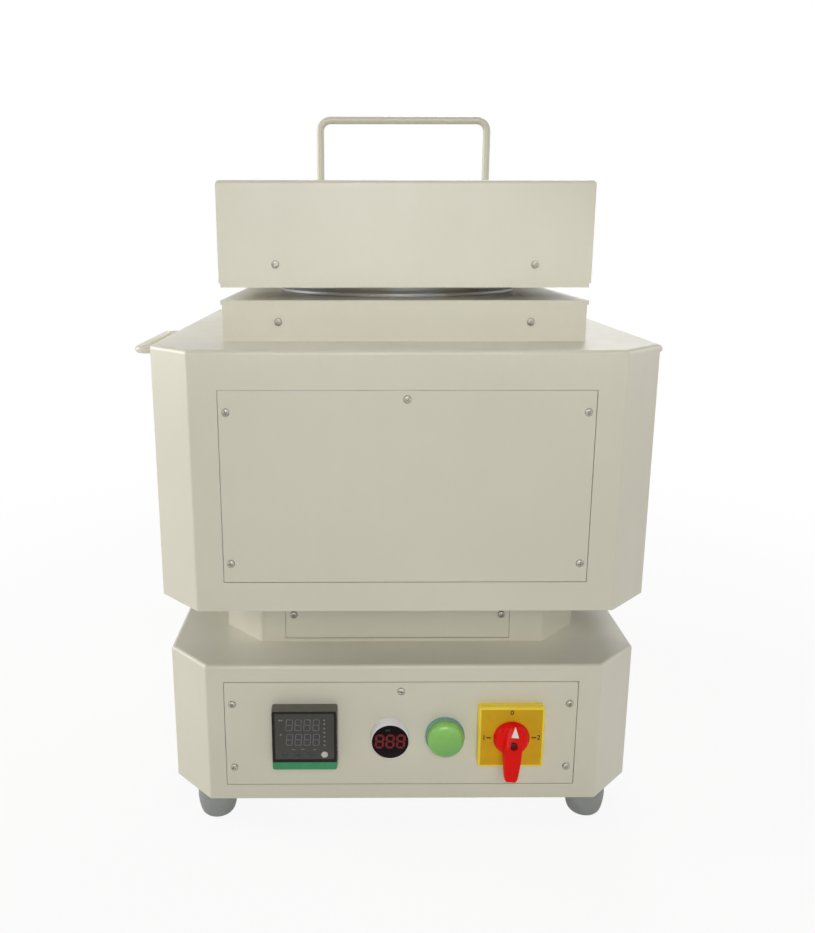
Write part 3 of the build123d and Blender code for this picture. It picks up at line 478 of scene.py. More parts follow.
def pick(piece, kind, test):
    """Selects the faces, edges or vertices whose middle and item pass the test."""
    bpy.ops.mesh.select_mode(type={"verts": "VERT", "edges": "EDGE", "faces": "FACE"}[kind])
    bpy.ops.mesh.select_all(action="DESELECT")
    mesh = bmesh.from_edit_mesh(piece.data)
    for item in getattr(mesh, kind):
        if kind == "verts":
            middle = item.co
        elif kind == "edges":
            middle = (item.verts[0].co + item.verts[1].co) / 2
        else:
            middle = item.calc_center_median()
        if test(middle, item):
            item.select_set(True)
    bmesh.update_edit_mesh(piece.data)


def round_edges(width, segments=3, sharpness=35):
    """Bevels every edge that is sharper than this angle, in degrees."""
    bpy.ops.mesh.select_mode(type="EDGE")
    bpy.ops.mesh.select_all(action="DESELECT")
    bpy.ops.mesh.edges_select_sharp(sharpness=math.radians(sharpness))
    bpy.ops.mesh.bevel(offset=width, segments=segments, profile=0.5, affect="EDGES")


def round_corners(piece, width, height, reach, segments):
    """Bevels the four upright edges of a block of this width and height."""
    pick(piece, "edges", lambda middle, edge: abs(middle.x) > width * 0.4
         and abs(middle.y) > height * 0.4)
    bpy.ops.mesh.bevel(offset=reach, segments=segments, affect="EDGES")


def close_mesh():
    """Merges doubles and turns the faces outwards."""
    bpy.ops.mesh.select_all(action="SELECT")
    bpy.ops.mesh.remove_doubles(threshold=1e-7)
    bpy.ops.mesh.normals_make_consistent(inside=False)


def turned(name, profile, sides, hollow=False):
    """Round piece about its own Z, through each (radius, height) in mm. A hollow profile ends
    where it starts, any other is closed by a flat face at each end."""
    first_radius, first_height = profile[0]
    piece = start(bpy.ops.mesh.primitive_circle_add, name, vertices=sides,
                  radius=first_radius * MM, location=(0, 0, first_height * MM))
    bpy.ops.mesh.select_mode(type="EDGE")
    bpy.ops.mesh.select_all(action="SELECT")
    for (radius, height), (next_radius, next_height) in zip(profile, profile[1:]):
        rise = (next_height - height) * MM
        bpy.ops.mesh.extrude_region_move(TRANSFORM_OT_translate={"value": (0, 0, rise)})
        share = next_radius / radius
        bpy.ops.transform.resize(value=(share, share, 1), center_override=(0, 0, 0))
    if not hollow:
        bpy.ops.mesh.edge_face_add()
        bpy.ops.mesh.select_all(action="DESELECT")
        bpy.ops.mesh.select_non_manifold()
        bpy.ops.mesh.edge_face_add()
    close_mesh()
    return piece


def bent_rod(name, corners, radius, bend, sides=28, bend_steps=10):
    """Round rod with flat ends, along straight runs joined by quarter bends."""
    points = [Vector(corner) for corner in corners]
    headings = [(after - before).normalized() for before, after in zip(points, points[1:])]
    turn = Vector((0, 0, 1)).rotation_difference(headings[0]).to_euler()
    piece = start(bpy.ops.mesh.primitive_circle_add, name, vertices=sides, radius=radius,
                  fill_type="NGON", location=points[0], rotation=turn)
    bpy.ops.mesh.select_mode(type="FACE")
    bpy.ops.mesh.select_all(action="SELECT")
    last = len(headings) - 1
    for index, heading in enumerate(headings):
        run = (points[index + 1] - points[index]).length
        run -= bend * ((index > 0) + (index < last))
        bpy.ops.mesh.extrude_region_move(TRANSFORM_OT_translate={"value": heading * run})
        if index < last:
            after = headings[index + 1]
            corner = points[index + 1] - heading * bend
            bpy.ops.mesh.spin(steps=bend_steps, angle=-math.pi / 2, center=corner + after * bend,
                              axis=heading.cross(after))
    close_mesh()
    return piece


def to_object(piece):
    """Leaves edit mode with only this piece selected."""
    if piece.mode == "EDIT":
        bpy.ops.object.mode_set(mode="OBJECT")
    bpy.ops.object.select_all(action="DESELECT")
    piece.select_set(True)
    bpy.context.view_layer.objects.active = piece


def settle(piece, matrix=None, angle=30):
    """Moves a finished piece by the matrix, within its mesh, and smooths its edges under this
    angle, in degrees."""
    to_object(piece)
    if matrix is not None:
        piece.matrix_world = matrix @ piece.matrix_world
    bpy.ops.object.transform_apply(location=True, rotation=True, scale=True)
    bpy.ops.object.shade_smooth_by_angle(angle=math.radians(angle))
    return piece


def carve(piece, cutter, operation="DIFFERENCE"):
    """Cuts the piece with another, or unites them, and removes the other."""
    to_object(cutter)
    to_object(piece)
    modifier = piece.modifiers.new("carve", "BOOLEAN")
    modifier.operation = operation
    modifier.object = cutter
    modifier.solver = "EXACT"
    bpy.ops.object.modifier_apply(modifier=modifier.name)
    bpy.data.objects.remove(cutter)


def drill(piece, radius, depth, rise=0.0, sides=48):
    """Cuts a round hole about Z, its middle this far up."""
    hole = start(bpy.ops.mesh.primitive_cylinder_add, "hole", vertices=sides, radius=radius,
                 depth=depth, location=(0, 0, rise))
    carve(piece, hole)


def copy_of(piece, matrix):
    """Copy with a mesh of its own, moved by the matrix."""
    twin = piece.copy()
    twin.data = piece.data.copy()
    bpy.context.scene.collection.objects.link(twin)
    twin.matrix_world = matrix @ piece.matrix_world
    return twin


def join(pieces, name):
    """Makes one object of several."""
    bpy.ops.object.select_all(action="DESELECT")
    for piece in pieces:
        piece.select_set(True)
    bpy.context.view_layer.objects.active = pieces[0]
    bpy.ops.object.join()
    pieces[0].name = name
    pieces[0].data.name = name
    return pieces[0]


def dress(piece, finishes, body, node=None):
    """Gives a piece its finishes, its body and the node that it replaces."""
    piece.data.materials.clear()
    for finish in finishes.split():
        piece.data.materials.append(MATERIALS[finish])
    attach(piece, body)
    if node:
        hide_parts(node)
    return piece


def out_of_front(x, y, z):
    """Place whose own Z comes out of a front face, with its own Y up."""
    return Matrix(((1, 0, 0, x), (0, 0, -1, y), (0, 1, 0, z), (0, 0, 0, 1)))


def out_of_rear(x, y, z):
    """Place whose own Z comes out of a rear face, with its own Y up."""
    return Matrix(((-1, 0, 0, x), (0, 0, 1, y), (0, 1, 0, z), (0, 0, 0, 1)))


def on_panel(node):
    """Where a device stands on the control panel: its place, and in mm its radius and how far its
    rear and its front stand out of the panel."""
    low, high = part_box(node)
    middle = (low + high) / 2
    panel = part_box("control_panel")[0].y
    place = out_of_front(middle.x, panel, middle.z)
    return place, (high.x - low.x) / 2 / MM, (panel - high.y) / MM, (panel - low.y) / MM


def solids_of(node, reach=12):
    """Boxes of the separate solids in a CAD node that lie further apart than this, in mm."""
    groups = []
    for vertex in frame["nodes"][node].data.vertices:
        place = vertex.co
        for group in groups:
            if (place - group[0]).length < reach * MM:
                group.append(place)
                break
        else:
            groups.append([place])
    boxes = []
    for group in groups:
        low = Vector([min(place[axis] for place in group) for axis in range(3)])
        high = Vector([max(place[axis] for place in group) for axis in range(3)])
        boxes.append((low, high))
    return sorted(boxes, key=lambda box: tuple(round(value, 4) for value in box[0]))


# Pieces


class FURNACE_OT_finishes(bpy.types.Operator):
    """Makes the finishes and gives one to each CAD node by its record slot"""

    bl_idname = "furnace.finishes"
    bl_label = "Finishes"

    def execute(self, context):
        colours = context.scene.furnace_colours
        MATERIALS.update(moulded_and_printed(colours))
        MATERIALS["paint"] = powder_coated_steel(colours, context.scene.furnace_sizes)
        MATERIALS["zinc"] = zinc_plated_sheet()
        MATERIALS["mouth"] = turned_heat_tinted_steel(colours)
        MATERIALS["nickel"] = nickel_plated_steel()
        MATERIALS["lens"] = translucent_lens(colours)
        MATERIALS["board"] = fibre_board()
        MATERIALS["refractory"] = fired_refractory()
        MATERIALS["strip_alloy"] = oxidised_resistance_strip()
        MATERIALS["graphite"] = clay_graphite()
        for subpart in frame["record"]["subparts"]:
            node = frame["nodes"][subpart["node"]]
            finish = MATERIALS[SLOT_FINISHES[subpart["material_slot"]]]
            for place in node.material_slots:
                place.material = finish
        return {"FINISHED"}


class FURNACE_OT_screws(bpy.types.Operator):
    """Models one cross-recessed pan screw and copies it to every screw place on the sheet metal"""

    bl_idname = "furnace.screws"
    bl_label = "Panel screws"

    head_rise = 1.7
    head_share = ((1.0, 0.0), (1.0, 0.30), (0.94, 0.60), (0.78, 0.83), (0.52, 0.96), (0.20, 1.0))
    shank = 1.45
    tip_share = 0.6
    tip_length = 0.6
    recess_taper = (0.45, 0.55, 1)
    recess_cut = 1.1
    sides = 32
    turn_step = 37
    smooth = 40
    nodes = {
        "control_panel_screws": "furnace", "neck_cover_screws": "furnace",
        "front_cover_screws": "furnace", "collar_screws": "furnace", "lid_screws": "lid",
    }

    def screw(self, box, sizes):
        """Screw whose head stands on 0, sized by the CAD screw's box."""
        low, high = box
        head = (high.x - low.x) / 2 / MM
        tip = self.head_rise - (high.y - low.y) / MM
        profile = [(self.shank * self.tip_share, tip), (self.shank, tip + self.tip_length),
                   (self.shank, 0.0)]
        profile += [(head * radius, self.head_rise * height) for radius, height in self.head_share]
        piece = turned("screw", profile, self.sides)
        cut = sizes.recess_depth * self.recess_cut
        height = self.head_rise * MM - sizes.recess_depth + cut / 2
        for angle in (0, math.pi / 2):
            slot = block("recess", (sizes.recess_length, sizes.recess_width, cut), height)
            pick(slot, "faces", lambda middle, face: face.normal.z < -0.5)
            bpy.ops.transform.resize(value=self.recess_taper, center_override=(0, 0, 0))
            to_object(slot)
            slot.rotation_euler.z = angle
            bpy.ops.object.transform_apply(location=True, rotation=True, scale=True)
            carve(piece, slot)
        return settle(piece, angle=self.smooth)

    def execute(self, context):
        first = solids_of("control_panel_screws")[0]
        master = self.screw(first, context.scene.furnace_sizes)
        rise = self.head_rise * MM
        count = 0
        for node, body in self.nodes.items():
            copies = []
            for low, high in solids_of(node):
                middle = (low + high) / 2
                turn = Matrix.Rotation(math.radians(count * self.turn_step), 4, "Z")
                if middle.y < 0:
                    place = out_of_front(middle.x, low.y + rise, middle.z)
                else:
                    place = out_of_rear(middle.x, high.y - rise, middle.z)
                copies.append(copy_of(master, place @ turn))
                count += 1
            piece = settle(join(copies, node + "_cross_recessed"), angle=self.smooth)
            dress(piece, "nickel", body, node)
        bpy.data.objects.remove(master)
        return {"FINISHED"}


class FURNACE_OT_feet(bpy.types.Operator):
    """Turns the rubber feet, each with a rounded tread and a pocket under its screw"""

    bl_idname = "furnace.feet"
    bl_label = "Rubber feet"

    reach = 50
    pocket_radius = 4.6
    pocket_depth = 12.0
    # How far in from the side, and how high.
    tread = ((5.5, 0.0), (3.6, 0.7), (2.4, 2.2), (1.5, 4.7), (0.6, 9.0), (0.0, 14.0))

    def execute(self, context):
        sizes = context.scene.furnace_sizes
        feet = []
        for low, high in solids_of("rubber_feet", self.reach):
            radius = (high.x - low.x) / 2 / MM
            profile = [(self.pocket_radius, self.pocket_depth), (self.pocket_radius, 0.0)]
            profile += [(radius - inset, height) for inset, height in self.tread]
            profile.append((radius, (high.z - low.z) / MM))
            foot = turned("rubber_foot", profile, sizes.round_sides)
            round_edges(sizes.edge_round, sharpness=40)
            middle = (low + high) / 2
            feet.append(settle(foot, Matrix.Translation((middle.x, middle.y, low.z))))
        piece = settle(join(feet, "rubber_feet_turned"))
        dress(piece, "rubber", "furnace", "rubber_feet")
        return {"FINISHED"}


class FURNACE_OT_handles(bpy.types.Operator):
    """Bends the round rods of the lid's handle and the two side handles"""

    bl_idname = "furnace.handles"
    bl_label = "Rod handles"

    bend = 8.5

    def rod(self, node, body, across, out):
        """Rod in the plane of two axes: its grip along the first, its legs along the second."""
        low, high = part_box(node)
        radius = min(high - low) / 2
        middle = (low + high) / 2
        near = low[out] if abs(low[out]) < abs(high[out]) else high[out]
        far = high[out] - radius if near == low[out] else low[out] + radius
        corners = []
        for side, order in ((low[across] + radius, (near, far)),
                            (high[across] - radius, (far, near))):
            for value in order:
                corner = middle.copy()
                corner[across] = side
                corner[out] = value
                corners.append(corner)
        piece = settle(bent_rod(node + "_bent", corners, radius, self.bend * MM))
        dress(piece, "paint", body, node)

    def execute(self, context):
        self.rod("lid_handle", "lid", 0, 2)
        self.rod("side_handle_left", "furnace", 1, 0)
        self.rod("side_handle_right", "furnace", 1, 0)
        return {"FINISHED"}


class FURNACE_OT_mouth_ring(bpy.types.Operator):
    """Turns the steel ring between the collar and the lid, with a rolled edge and a groove"""

    bl_idname = "furnace.mouth_ring"
    bl_label = "Mouth ring"

    bore = 88.0
    sides = 160
    edge_share = 1.2
    # How deep, and at what share of the ring's height.
    groove = ((0.0, 0.30), (0.9, 0.36), (0.9, 0.44), (0.0, 0.50))

    def execute(self, context):
        low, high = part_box("mouth_ring")
        radius = (high.x - low.x) / 2 / MM
        height = (high.z - low.z) / MM
        profile = [(self.bore, 0.0), (radius, 0.0)]
        profile += [(radius - depth, height * share) for depth, share in self.groove]
        profile += [(radius, height), (self.bore, height), (self.bore, 0.0)]
        piece = turned("mouth_ring_turned", profile, self.sides, hollow=True)
        round_edges(context.scene.furnace_sizes.edge_round * self.edge_share, sharpness=50)
        settle(piece, Matrix.Translation((0, 0, low.z)))
        dress(piece, "mouth", "furnace", "mouth_ring")
        return {"FINISHED"}


# Side, level and direction of the seven bars of a digit.
SEGMENTS = (
    (0, 1, "across"), (-1, 0.5, "up"), (1, 0.5, "up"), (0, 0, "across"), (-1, -0.5, "up"),
    (1, -0.5, "up"), (0, -1, "across"))


def segment_bar(length, width, thickness):
    """Six-sided bar of a display digit, lying along X on 0."""
    bar = block("segment", (length, width, thickness), thickness / 2)
    round_corners(bar, length, width, width * 0.46, segments=1)
    to_object(bar)
    return bar


def digits(name, places, width, height, stroke, thickness, slant):
    """Seven-bar digits at these places, all bars present, that lean by the slant."""
    gap = stroke / 4
    across = segment_bar(width - stroke - gap, stroke, thickness)
    upright = segment_bar(height / 2 - stroke / 2 - gap, stroke, thickness)
    lean = Matrix.Identity(4)
    lean[0][1] = slant
    kinds = {"across": (across, lean), "up": (upright, lean @ Matrix.Rotation(math.pi / 2, 4, "Z"))}
    bars = []
    for x, y in places:
        for side, level, kind in SEGMENTS:
            rise = level * (height - stroke) / 2
            run = side * (width - stroke) / 2 + rise * slant
            bar, turn = kinds[kind]
            bars.append(copy_of(bar, Matrix.Translation((x + run, y + rise, 0)) @ turn))
    bpy.data.objects.remove(across)
    bpy.data.objects.remove(upright)
    return join(bars, name)


def dots(name, places, radius, thickness, sides=16):
    """Flat round dots."""
    discs = []
    for x, y in places:
        disc = start(bpy.ops.mesh.primitive_circle_add, "dot", vertices=sides, radius=radius,
                     fill_type="NGON", location=(x, y, 0))
        bpy.ops.mesh.extrude_region_move(TRANSFORM_OT_translate={"value": (0, 0, thickness)})
        close_mesh()
        to_object(disc)
        discs.append(disc)
    return join(discs, name)


class FURNACE_OT_controller(bpy.types.Operator):
    """Models the temperature controller's bezel, window, display bars, marks and keys"""

    bl_idname = "furnace.controller"
    bl_label = "Temperature controller"

    frame_width = 1.9
    strip_height = 6.4
    seat_depth = 1.0
    border_depth = 1.2
    step_height = 5.0
    step_draw = 1.0
    corner_round = 1.6
    window_round = 0.25
    ink = 0.06
    stroke = 0.6
    slant = 0.08
    digit_count = 4
    rows = (12.4, 0.7)
    first_column = -10.9
    lamp_radius = 0.7
    lamp_column = 14.5
    lamp_rows = (16.4, 13.4, 9.8, 6.4, 3.0, -0.4, -3.8)
    left_lamps = ((-17.2, 4.7), (-18.0, 16.3), (-16.4, 16.3))
    key_marks = ((-8.0, -7.4), (-1.4, -7.0), (7.4, -7.4))
    key_mark_length = 2.6
    key_count = 4
    key_sides = 32
    # Share of the key's radius, and how far below its top.
    key_dome = ((1.0, 0.35), (0.86, 0.1), (0.5, 0.0))

    def bezel(self, width, depth):
        """Square bezel with rounded corners, a drawn-in front half and a sunk seat for its window.
        Gives back the height of the strip's upper edge too."""
        piece = block("controller_bezel_moulded", (width, width, depth), depth / 2)
        round_corners(piece, width, width, self.corner_round * MM, segments=4)
        bpy.ops.mesh.select_all(action="SELECT")
        bpy.ops.mesh.bisect(plane_co=(0, 0, self.step_height * MM), plane_no=(0, 0, 1))
        pick(piece, "faces", lambda middle, face: face.normal.z > 0.5)
        share = 1 - self.step_draw * MM / width
        bpy.ops.transform.resize(value=(share, share, 1), center_override=(0, 0, 0))
        strip_top = -width / 2 + self.strip_height * MM
        bpy.ops.mesh.select_all(action="SELECT")
        bpy.ops.mesh.bisect(plane_co=(0, strip_top, 0), plane_no=(0, 1, 0))
        pick(piece, "faces", lambda middle, face: face.normal.z > 0.5 and middle.y > strip_top)
        bpy.ops.mesh.inset(thickness=self.frame_width * MM, use_boundary=True)
        bpy.ops.mesh.extrude_region_move(
            TRANSFORM_OT_translate={"value": (0, 0, -self.seat_depth * MM)})
        to_object(piece)
        return piece, strip_top

    def colour_bezel(self, piece, strip_top, rear, front):
        """Gives the strip's front half, the border of the window and the rest their finishes."""
        dress(piece, "case strip border", "furnace", "controller_bezel")
        case, strip, border = range(3)
        step = rear - self.step_height * MM
        for face in piece.data.polygons:
            if face.center.z < strip_top:
                face.material_index = strip if face.center.y < step else case
            else:
                shallow = face.center.y < front + self.border_depth * MM
                face.material_index = border if shallow else case

    def window(self, place, middle, rear):
        """Smoked plate with softened edges. Gives back the place of its face."""
        low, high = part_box("controller_window")
        piece = block("controller_window_smoked",
                      (high.x - low.x, high.z - low.z, high.y - low.y))
        round_edges(self.window_round * MM, segments=2)
        rise = rear - (low.y + high.y) / 2
        settle(piece, place @ Matrix.Translation((0, (low.z + high.z) / 2 - middle.z, rise)))
        dress(piece, "window", "furnace", "controller_window")
        return place @ Matrix.Translation((0, 0, rear - low.y))

    def display(self, face, sizes):
        """Unlit bars of the digits, the indicator dots and the marks over the keys."""
        columns = [self.first_column * MM + index * sizes.digit_pitch
                   for index in range(self.digit_count)]
        places = [(x, y * MM) for y in self.rows for x in columns]
        bars = digits("controller_display_bars", places, sizes.digit_width, sizes.digit_height,
                      self.stroke * MM, self.ink * MM, self.slant)
        dress(settle(bars, face), "segment", "furnace")
        lamps = [(self.lamp_column * MM, y * MM) for y in self.lamp_rows]
        lamps += [(x * MM, y * MM) for x, y in self.left_lamps]
        marks = [dots("controller_indicator_dots", lamps, self.lamp_radius * MM, self.ink * MM)]
        for x, y in self.key_marks:
            bar = segment_bar(self.key_mark_length * MM, self.stroke * MM, self.ink * MM)
            marks.append(settle(bar, Matrix.Translation((x * MM, y * MM, 0))))
        piece = settle(join(marks, "controller_indicator_dots"), face)
        dress(piece, "faint_mark", "furnace")

    def keys(self):
        """Domed round keys, the last one pale."""
        for number in range(1, self.key_count + 1):
            node = f"controller_key_{number}"
            low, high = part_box(node)
            middle = (low + high) / 2
            radius = (high.x - low.x) / 2 / MM
            length = (high.y - low.y) / MM
            profile = [(radius, 0.0)]
            profile += [(radius * share, length - drop) for share, drop in self.key_dome]
            key = turned(node + "_domed", profile, self.key_sides)
            settle(key, out_of_front(middle.x, high.y, middle.z), angle=50)
            finish = "pale_key" if number == self.key_count else "key"
            dress(key, finish, node, node)

    def execute(self, context):
        low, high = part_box("controller_bezel")
        middle = (low + high) / 2
        place = out_of_front(middle.x, high.y, middle.z)
        bezel, strip_top = self.bezel(high.x - low.x, high.y - low.y)
        settle(bezel, place, angle=35)
        self.colour_bezel(bezel, middle.z + strip_top, high.y, low.y)
        face = self.window(place, middle, high.y)
        self.display(face, context.scene.furnace_sizes)
        self.keys()
        return {"FINISHED"}


class FURNACE_OT_round_devices(bpy.types.Operator):
    """Turns the round meter with its window and digits, and the pilot lamp with its lens"""

    bl_idname = "furnace.round_devices"
    bl_label = "Meter and pilot lamp"

    barrel = 11.0
    barrel_length = 34.0
    # How far in from the side, and how far below the front.
    meter_lip = ((0.0, 0.7), (0.15, 0.2), (0.35, 0.0), (0.55, 0.1))
    meter_gap = 0.05
    meter_edge = (0.4, 0.3)
    meter_digits = 3
    meter_pitch = 7.7
    meter_level = 0.4
    meter_stroke = 1.7
    meter_slant = 0.06
    unit_dots = ((-2.6, 9.2), (-0.9, 9.4))
    unit_dot_radius = 0.8
    ink = 0.06
    ring_edge = (0.5, 0.8)
    lens_gap = 0.15
    lens_edge = 6.6
    # Share of the lens's radius, and of its height above its edge.
    lens_dome = ((1.0, 0.0), (0.985, 0.36), (0.93, 0.64), (0.83, 0.80), (0.68, 0.90),
                 (0.45, 0.965), (0.2, 0.995), (0.015, 1.0))

    def barrel_profile(self, radius):
        """Barrel through the panel and the rear of a head of this radius."""
        return [(self.barrel, -self.barrel_length), (self.barrel, 0.0), (radius, 0.0)]

    def meter(self, sizes):
        """White bezel with a rounded lip, tinted window, dim digits and two dots over them."""
        place, radius, _, proud = on_panel("meter_bezel")
        _, _, floor, front = on_panel("meter_window")
        profile = self.barrel_profile(radius)
        profile += [(radius - inset, proud - drop) for inset, drop in self.meter_lip]
        seat = profile[-1][0]
        profile.append((seat, floor))
        bezel = settle(turned("meter_bezel_turned", profile, sizes.round_sides), place, angle=35)
        dress(bezel, "meter", "furnace", "meter_bezel")
        side = seat - self.meter_gap
        inset, drop = self.meter_edge
        profile = [(side, floor), (side, front - drop), (side - inset, front)]
        window = settle(turned("meter_window_tinted", profile, sizes.round_sides), place, angle=50)
        dress(window, "meter_window", "furnace", "meter_window")
        middle = (self.meter_digits - 1) / 2
        places = [((index - middle) * self.meter_pitch * MM, self.meter_level * MM)
                  for index in range(self.meter_digits)]
        bars = digits("meter_display_bars", places, sizes.meter_digit_width,
                      sizes.meter_digit_height, self.meter_stroke * MM, self.ink * MM,
                      self.meter_slant)
        face = place @ Matrix.Translation((0, 0, front * MM))
        dress(settle(bars, face), "meter_segment", "furnace")
        places = [(x * MM, y * MM) for x, y in self.unit_dots]
        spots = dots("meter_unit_dots", places, self.unit_dot_radius * MM, self.ink * MM)
        dress(settle(spots, face), "meter_mark", "furnace")

    def lamp(self, sizes):
        """Ring with a chamfered edge, and the dome of the lens in it."""
        place, radius, _, proud = on_panel("pilot_lamp_ring")
        _, lens_radius, seat, top = on_panel("pilot_lamp_lens")
        inset, drop = self.ring_edge
        opening = lens_radius + self.lens_gap
        profile = self.barrel_profile(radius)
        profile += [(radius, proud - drop), (radius - inset, proud), (opening, proud),
                    (opening, seat)]
        ring = settle(turned("pilot_lamp_ring_turned", profile, sizes.round_sides), place, angle=35)
        dress(ring, "lamp_ring", "furnace", "pilot_lamp_ring")
        rise = top - self.lens_edge
        profile = [(lens_radius, seat)]
        profile += [(lens_radius * share, self.lens_edge + rise * lift)
                    for share, lift in self.lens_dome]
        lens = settle(turned("pilot_lamp_lens_domed", profile, sizes.round_sides), place, angle=60)
        dress(lens, "lens", "furnace", "pilot_lamp_lens")

    def execute(self, context):
        sizes = context.scene.furnace_sizes
        self.meter(sizes)
        self.lamp(sizes)
        return {"FINISHED"}


class FURNACE_OT_rotary_switch(bpy.types.Operator):
    """Models the switch plate with its legend, and the pistol handle with its inlaid pointer"""

    bl_idname = "furnace.rotary_switch"
    bl_label = "Rotary switch"

    corner_round = 2.2
    edge = 0.9
    edge_drop = 0.72
    shaft_bore = 4.05
    foil_margin = 1.7
    foil_depth = 0.1
    ink = 0.06
    figures = (("0", 90), ("1", 180), ("2", 0))
    figure_size = 5.2
    figure_weight = 0.1
    figure_ring = 20.0
    tick_length = 3.4
    tick_width = 1.0
    turn = 5.0
    hub_foot = 0.9
    hub_dome = ((0.965, 9.2), (0.90, 11.0), (0.85, 11.9), (0.77, 12.5), (0.5, 12.9), (0.1, 13.0))
    hub_sides = 96
    # Place along the grip, half its width there, and the heights of its underside and its back.
    grip_rows = (
        (12.2, 3.0, 8.6, 11.3), (9.6, 4.7, 8.6, 13.1), (4.5, 5.8, 8.6, 15.6), (0.0, 6.2, 8.6, 19.2),
        (-4.0, 6.3, 8.6, 20.4), (-9.7, 6.2, 8.6, 21.3), (-11.2, 6.1, 13.5, 21.6),
        (-19.0, 5.4, 14.8, 22.9), (-23.5, 4.8, 15.5, 23.7), (-26.0, 3.6, 16.6, 23.8))
    grip_round = 1.3
    grip_round_over = 50
    near_row = 0.05
    screw_hole = 2.6
    screw_floor = 16.5
    screw_cut = 8.0
    pointer_base = 4.8
    pointer_tip = 11.6
    pointer_width = 5.6
    pointer_aside = 0.8
    pointer_depth = 0.8
    pointer_sunk = 0.6

    def plate(self, width, depth):
        """Square plate with round corners, a sloping edge and the bore for the shaft."""
        piece = block("switch_plate_moulded", (width, width, depth), depth / 2)
        round_corners(piece, width, width, self.corner_round * MM, segments=5)
        pick(piece, "faces", lambda middle, face: face.normal.z > 0.5)
        bpy.ops.mesh.inset(thickness=self.edge * MM)
        rim = width / 2 - self.edge * MM / 2
        pick(piece, "verts", lambda middle, vert: middle.z > depth * 0.9
             and max(abs(middle.x), abs(middle.y)) > rim)
        bpy.ops.transform.translate(value=(0, 0, -self.edge_drop * MM))
        close_mesh()
        drill(piece, self.shaft_bore * MM, 4 * depth)
        return piece

    def figure(self, text, place):
        """Flat raised figure, made a mesh before it is placed."""
        bpy.ops.object.select_all(action="DESELECT")
        bpy.ops.object.text_add()
        curve = bpy.context.object.data
        curve.body = text
        curve.size = self.figure_size * MM
        curve.align_x = "CENTER"
        curve.align_y = "CENTER"
        curve.extrude = self.ink / 2 * MM
        curve.offset = self.figure_weight * MM
        bpy.ops.object.convert(target="MESH")
        mark = bpy.context.object
        mark.matrix_world = place
        return mark

    def legend(self, place, width):
        """Foil with the figures, and a tick between the handle and each figure beside it."""
        foil_depth = self.foil_depth * MM
        side = width - 2 * self.foil_margin * MM
        foil = block("switch_legend_foil", (side, side, foil_depth))
        settle(foil, place @ Matrix.Translation((0, 0, foil_depth / 2)))
        dress(foil, "legend", "furnace")
        face = place @ Matrix.Translation((0, 0, foil_depth))
        marks = []
        for text, angle in self.figures:
            x = self.figure_ring * math.cos(math.radians(angle))
            y = self.figure_ring * math.sin(math.radians(angle))
            marks.append(self.figure(text, face @ Matrix.Translation((x * MM, y * MM, 0))))
            if y < self.figure_ring / 2:
                tick = block("tick", (self.tick_length * MM, self.tick_width * MM, self.ink * MM))
                inward = x - math.copysign(self.tick_length, x)
                marks.append(settle(tick, face @ Matrix.Translation((inward * MM, 0, 0))))
        piece = settle(join(marks, "switch_legend_figures"))
        dress(piece, "dark_mark", "furnace")

    def grip(self):
        """Raised grip: a bar cut into lengths along Y, each cut drawn to its width and heights."""
        first = self.grip_rows[0][0]
        last = self.grip_rows[-1][0]
        near = self.near_row * MM
        piece = block("grip", (MM, (first - last) * MM, MM))
        bpy.ops.transform.translate(value=(0, (first + last) / 2 * MM, 0))
        for y, _, _, _ in self.grip_rows[1:-1]:
            bpy.ops.mesh.select_all(action="SELECT")
            bpy.ops.mesh.bisect(plane_co=(0, y * MM, 0), plane_no=(0, 1, 0))
        for y, half, low, high in self.grip_rows:
            pick(piece, "verts", lambda middle, vert: abs(middle.y - y * MM) < near)
            bpy.ops.transform.resize(value=(2 * half, 1, high - low), center_override=(0, 0, 0))
            bpy.ops.transform.translate(value=(0, 0, (high + low) / 2 * MM))
        close_mesh()
        sharp = math.radians(self.grip_round_over)
        pick(piece, "edges", lambda middle, edge: edge.calc_face_angle(0) > sharp
             or abs(middle.y - last * MM) < near)
        bpy.ops.mesh.bevel(offset=self.grip_round * MM, segments=4, profile=0.5, affect="EDGES")
        return piece

    def handle(self, hub, low):
        """Hub and grip made one, with the recess of its screw."""
        profile = [(self.shaft_bore, low), (hub, low), (hub, low + self.hub_foot)]
        profile += [(hub * share, height) for share, height in self.hub_dome]
        piece = turned("switch_handle_moulded", profile, self.hub_sides)
        carve(piece, self.grip(), "UNION")
        drill(piece, self.screw_hole * MM, self.screw_cut * MM,
              (self.screw_floor + self.screw_cut / 2) * MM, 32)
        return piece

    def pointer(self, place):
        """White triangle let into the slope above the hub, its tip outwards."""
        (far_y, _, _, far_z), (near_y, _, _, near_z) = self.grip_rows[1:3]
        slope = math.atan2(near_z - far_z, far_y - near_y)
        reach = (self.pointer_tip - self.pointer_base) / math.cos(slope)
        # An equal-sided triangle is 1.5 radii high, and its centre lies a third of that up.
        radius = reach / 1.5
        piece = start(bpy.ops.mesh.primitive_circle_add, "switch_pointer_inlay", vertices=3,
                      radius=radius * MM, fill_type="NGON")
        bpy.ops.mesh.extrude_region_move(
            TRANSFORM_OT_translate={"value": (0, 0, self.pointer_depth * MM)})
        bpy.ops.mesh.select_all(action="SELECT")
        share = self.pointer_width / (radius * math.sqrt(3))
        bpy.ops.transform.resize(value=(share, 1, 1), center_override=(0, 0, 0))
        close_mesh()
        y = self.pointer_base + reach / 3 * math.cos(slope)
        z = far_z + (far_y - y) * math.tan(slope) - self.pointer_sunk
        lift = Matrix.Translation((self.pointer_aside * MM, y * MM, z * MM))
        settle(piece, place @ lift @ Matrix.Rotation(-slope, 4, "X"))
        dress(piece, "white_mark", "switch")

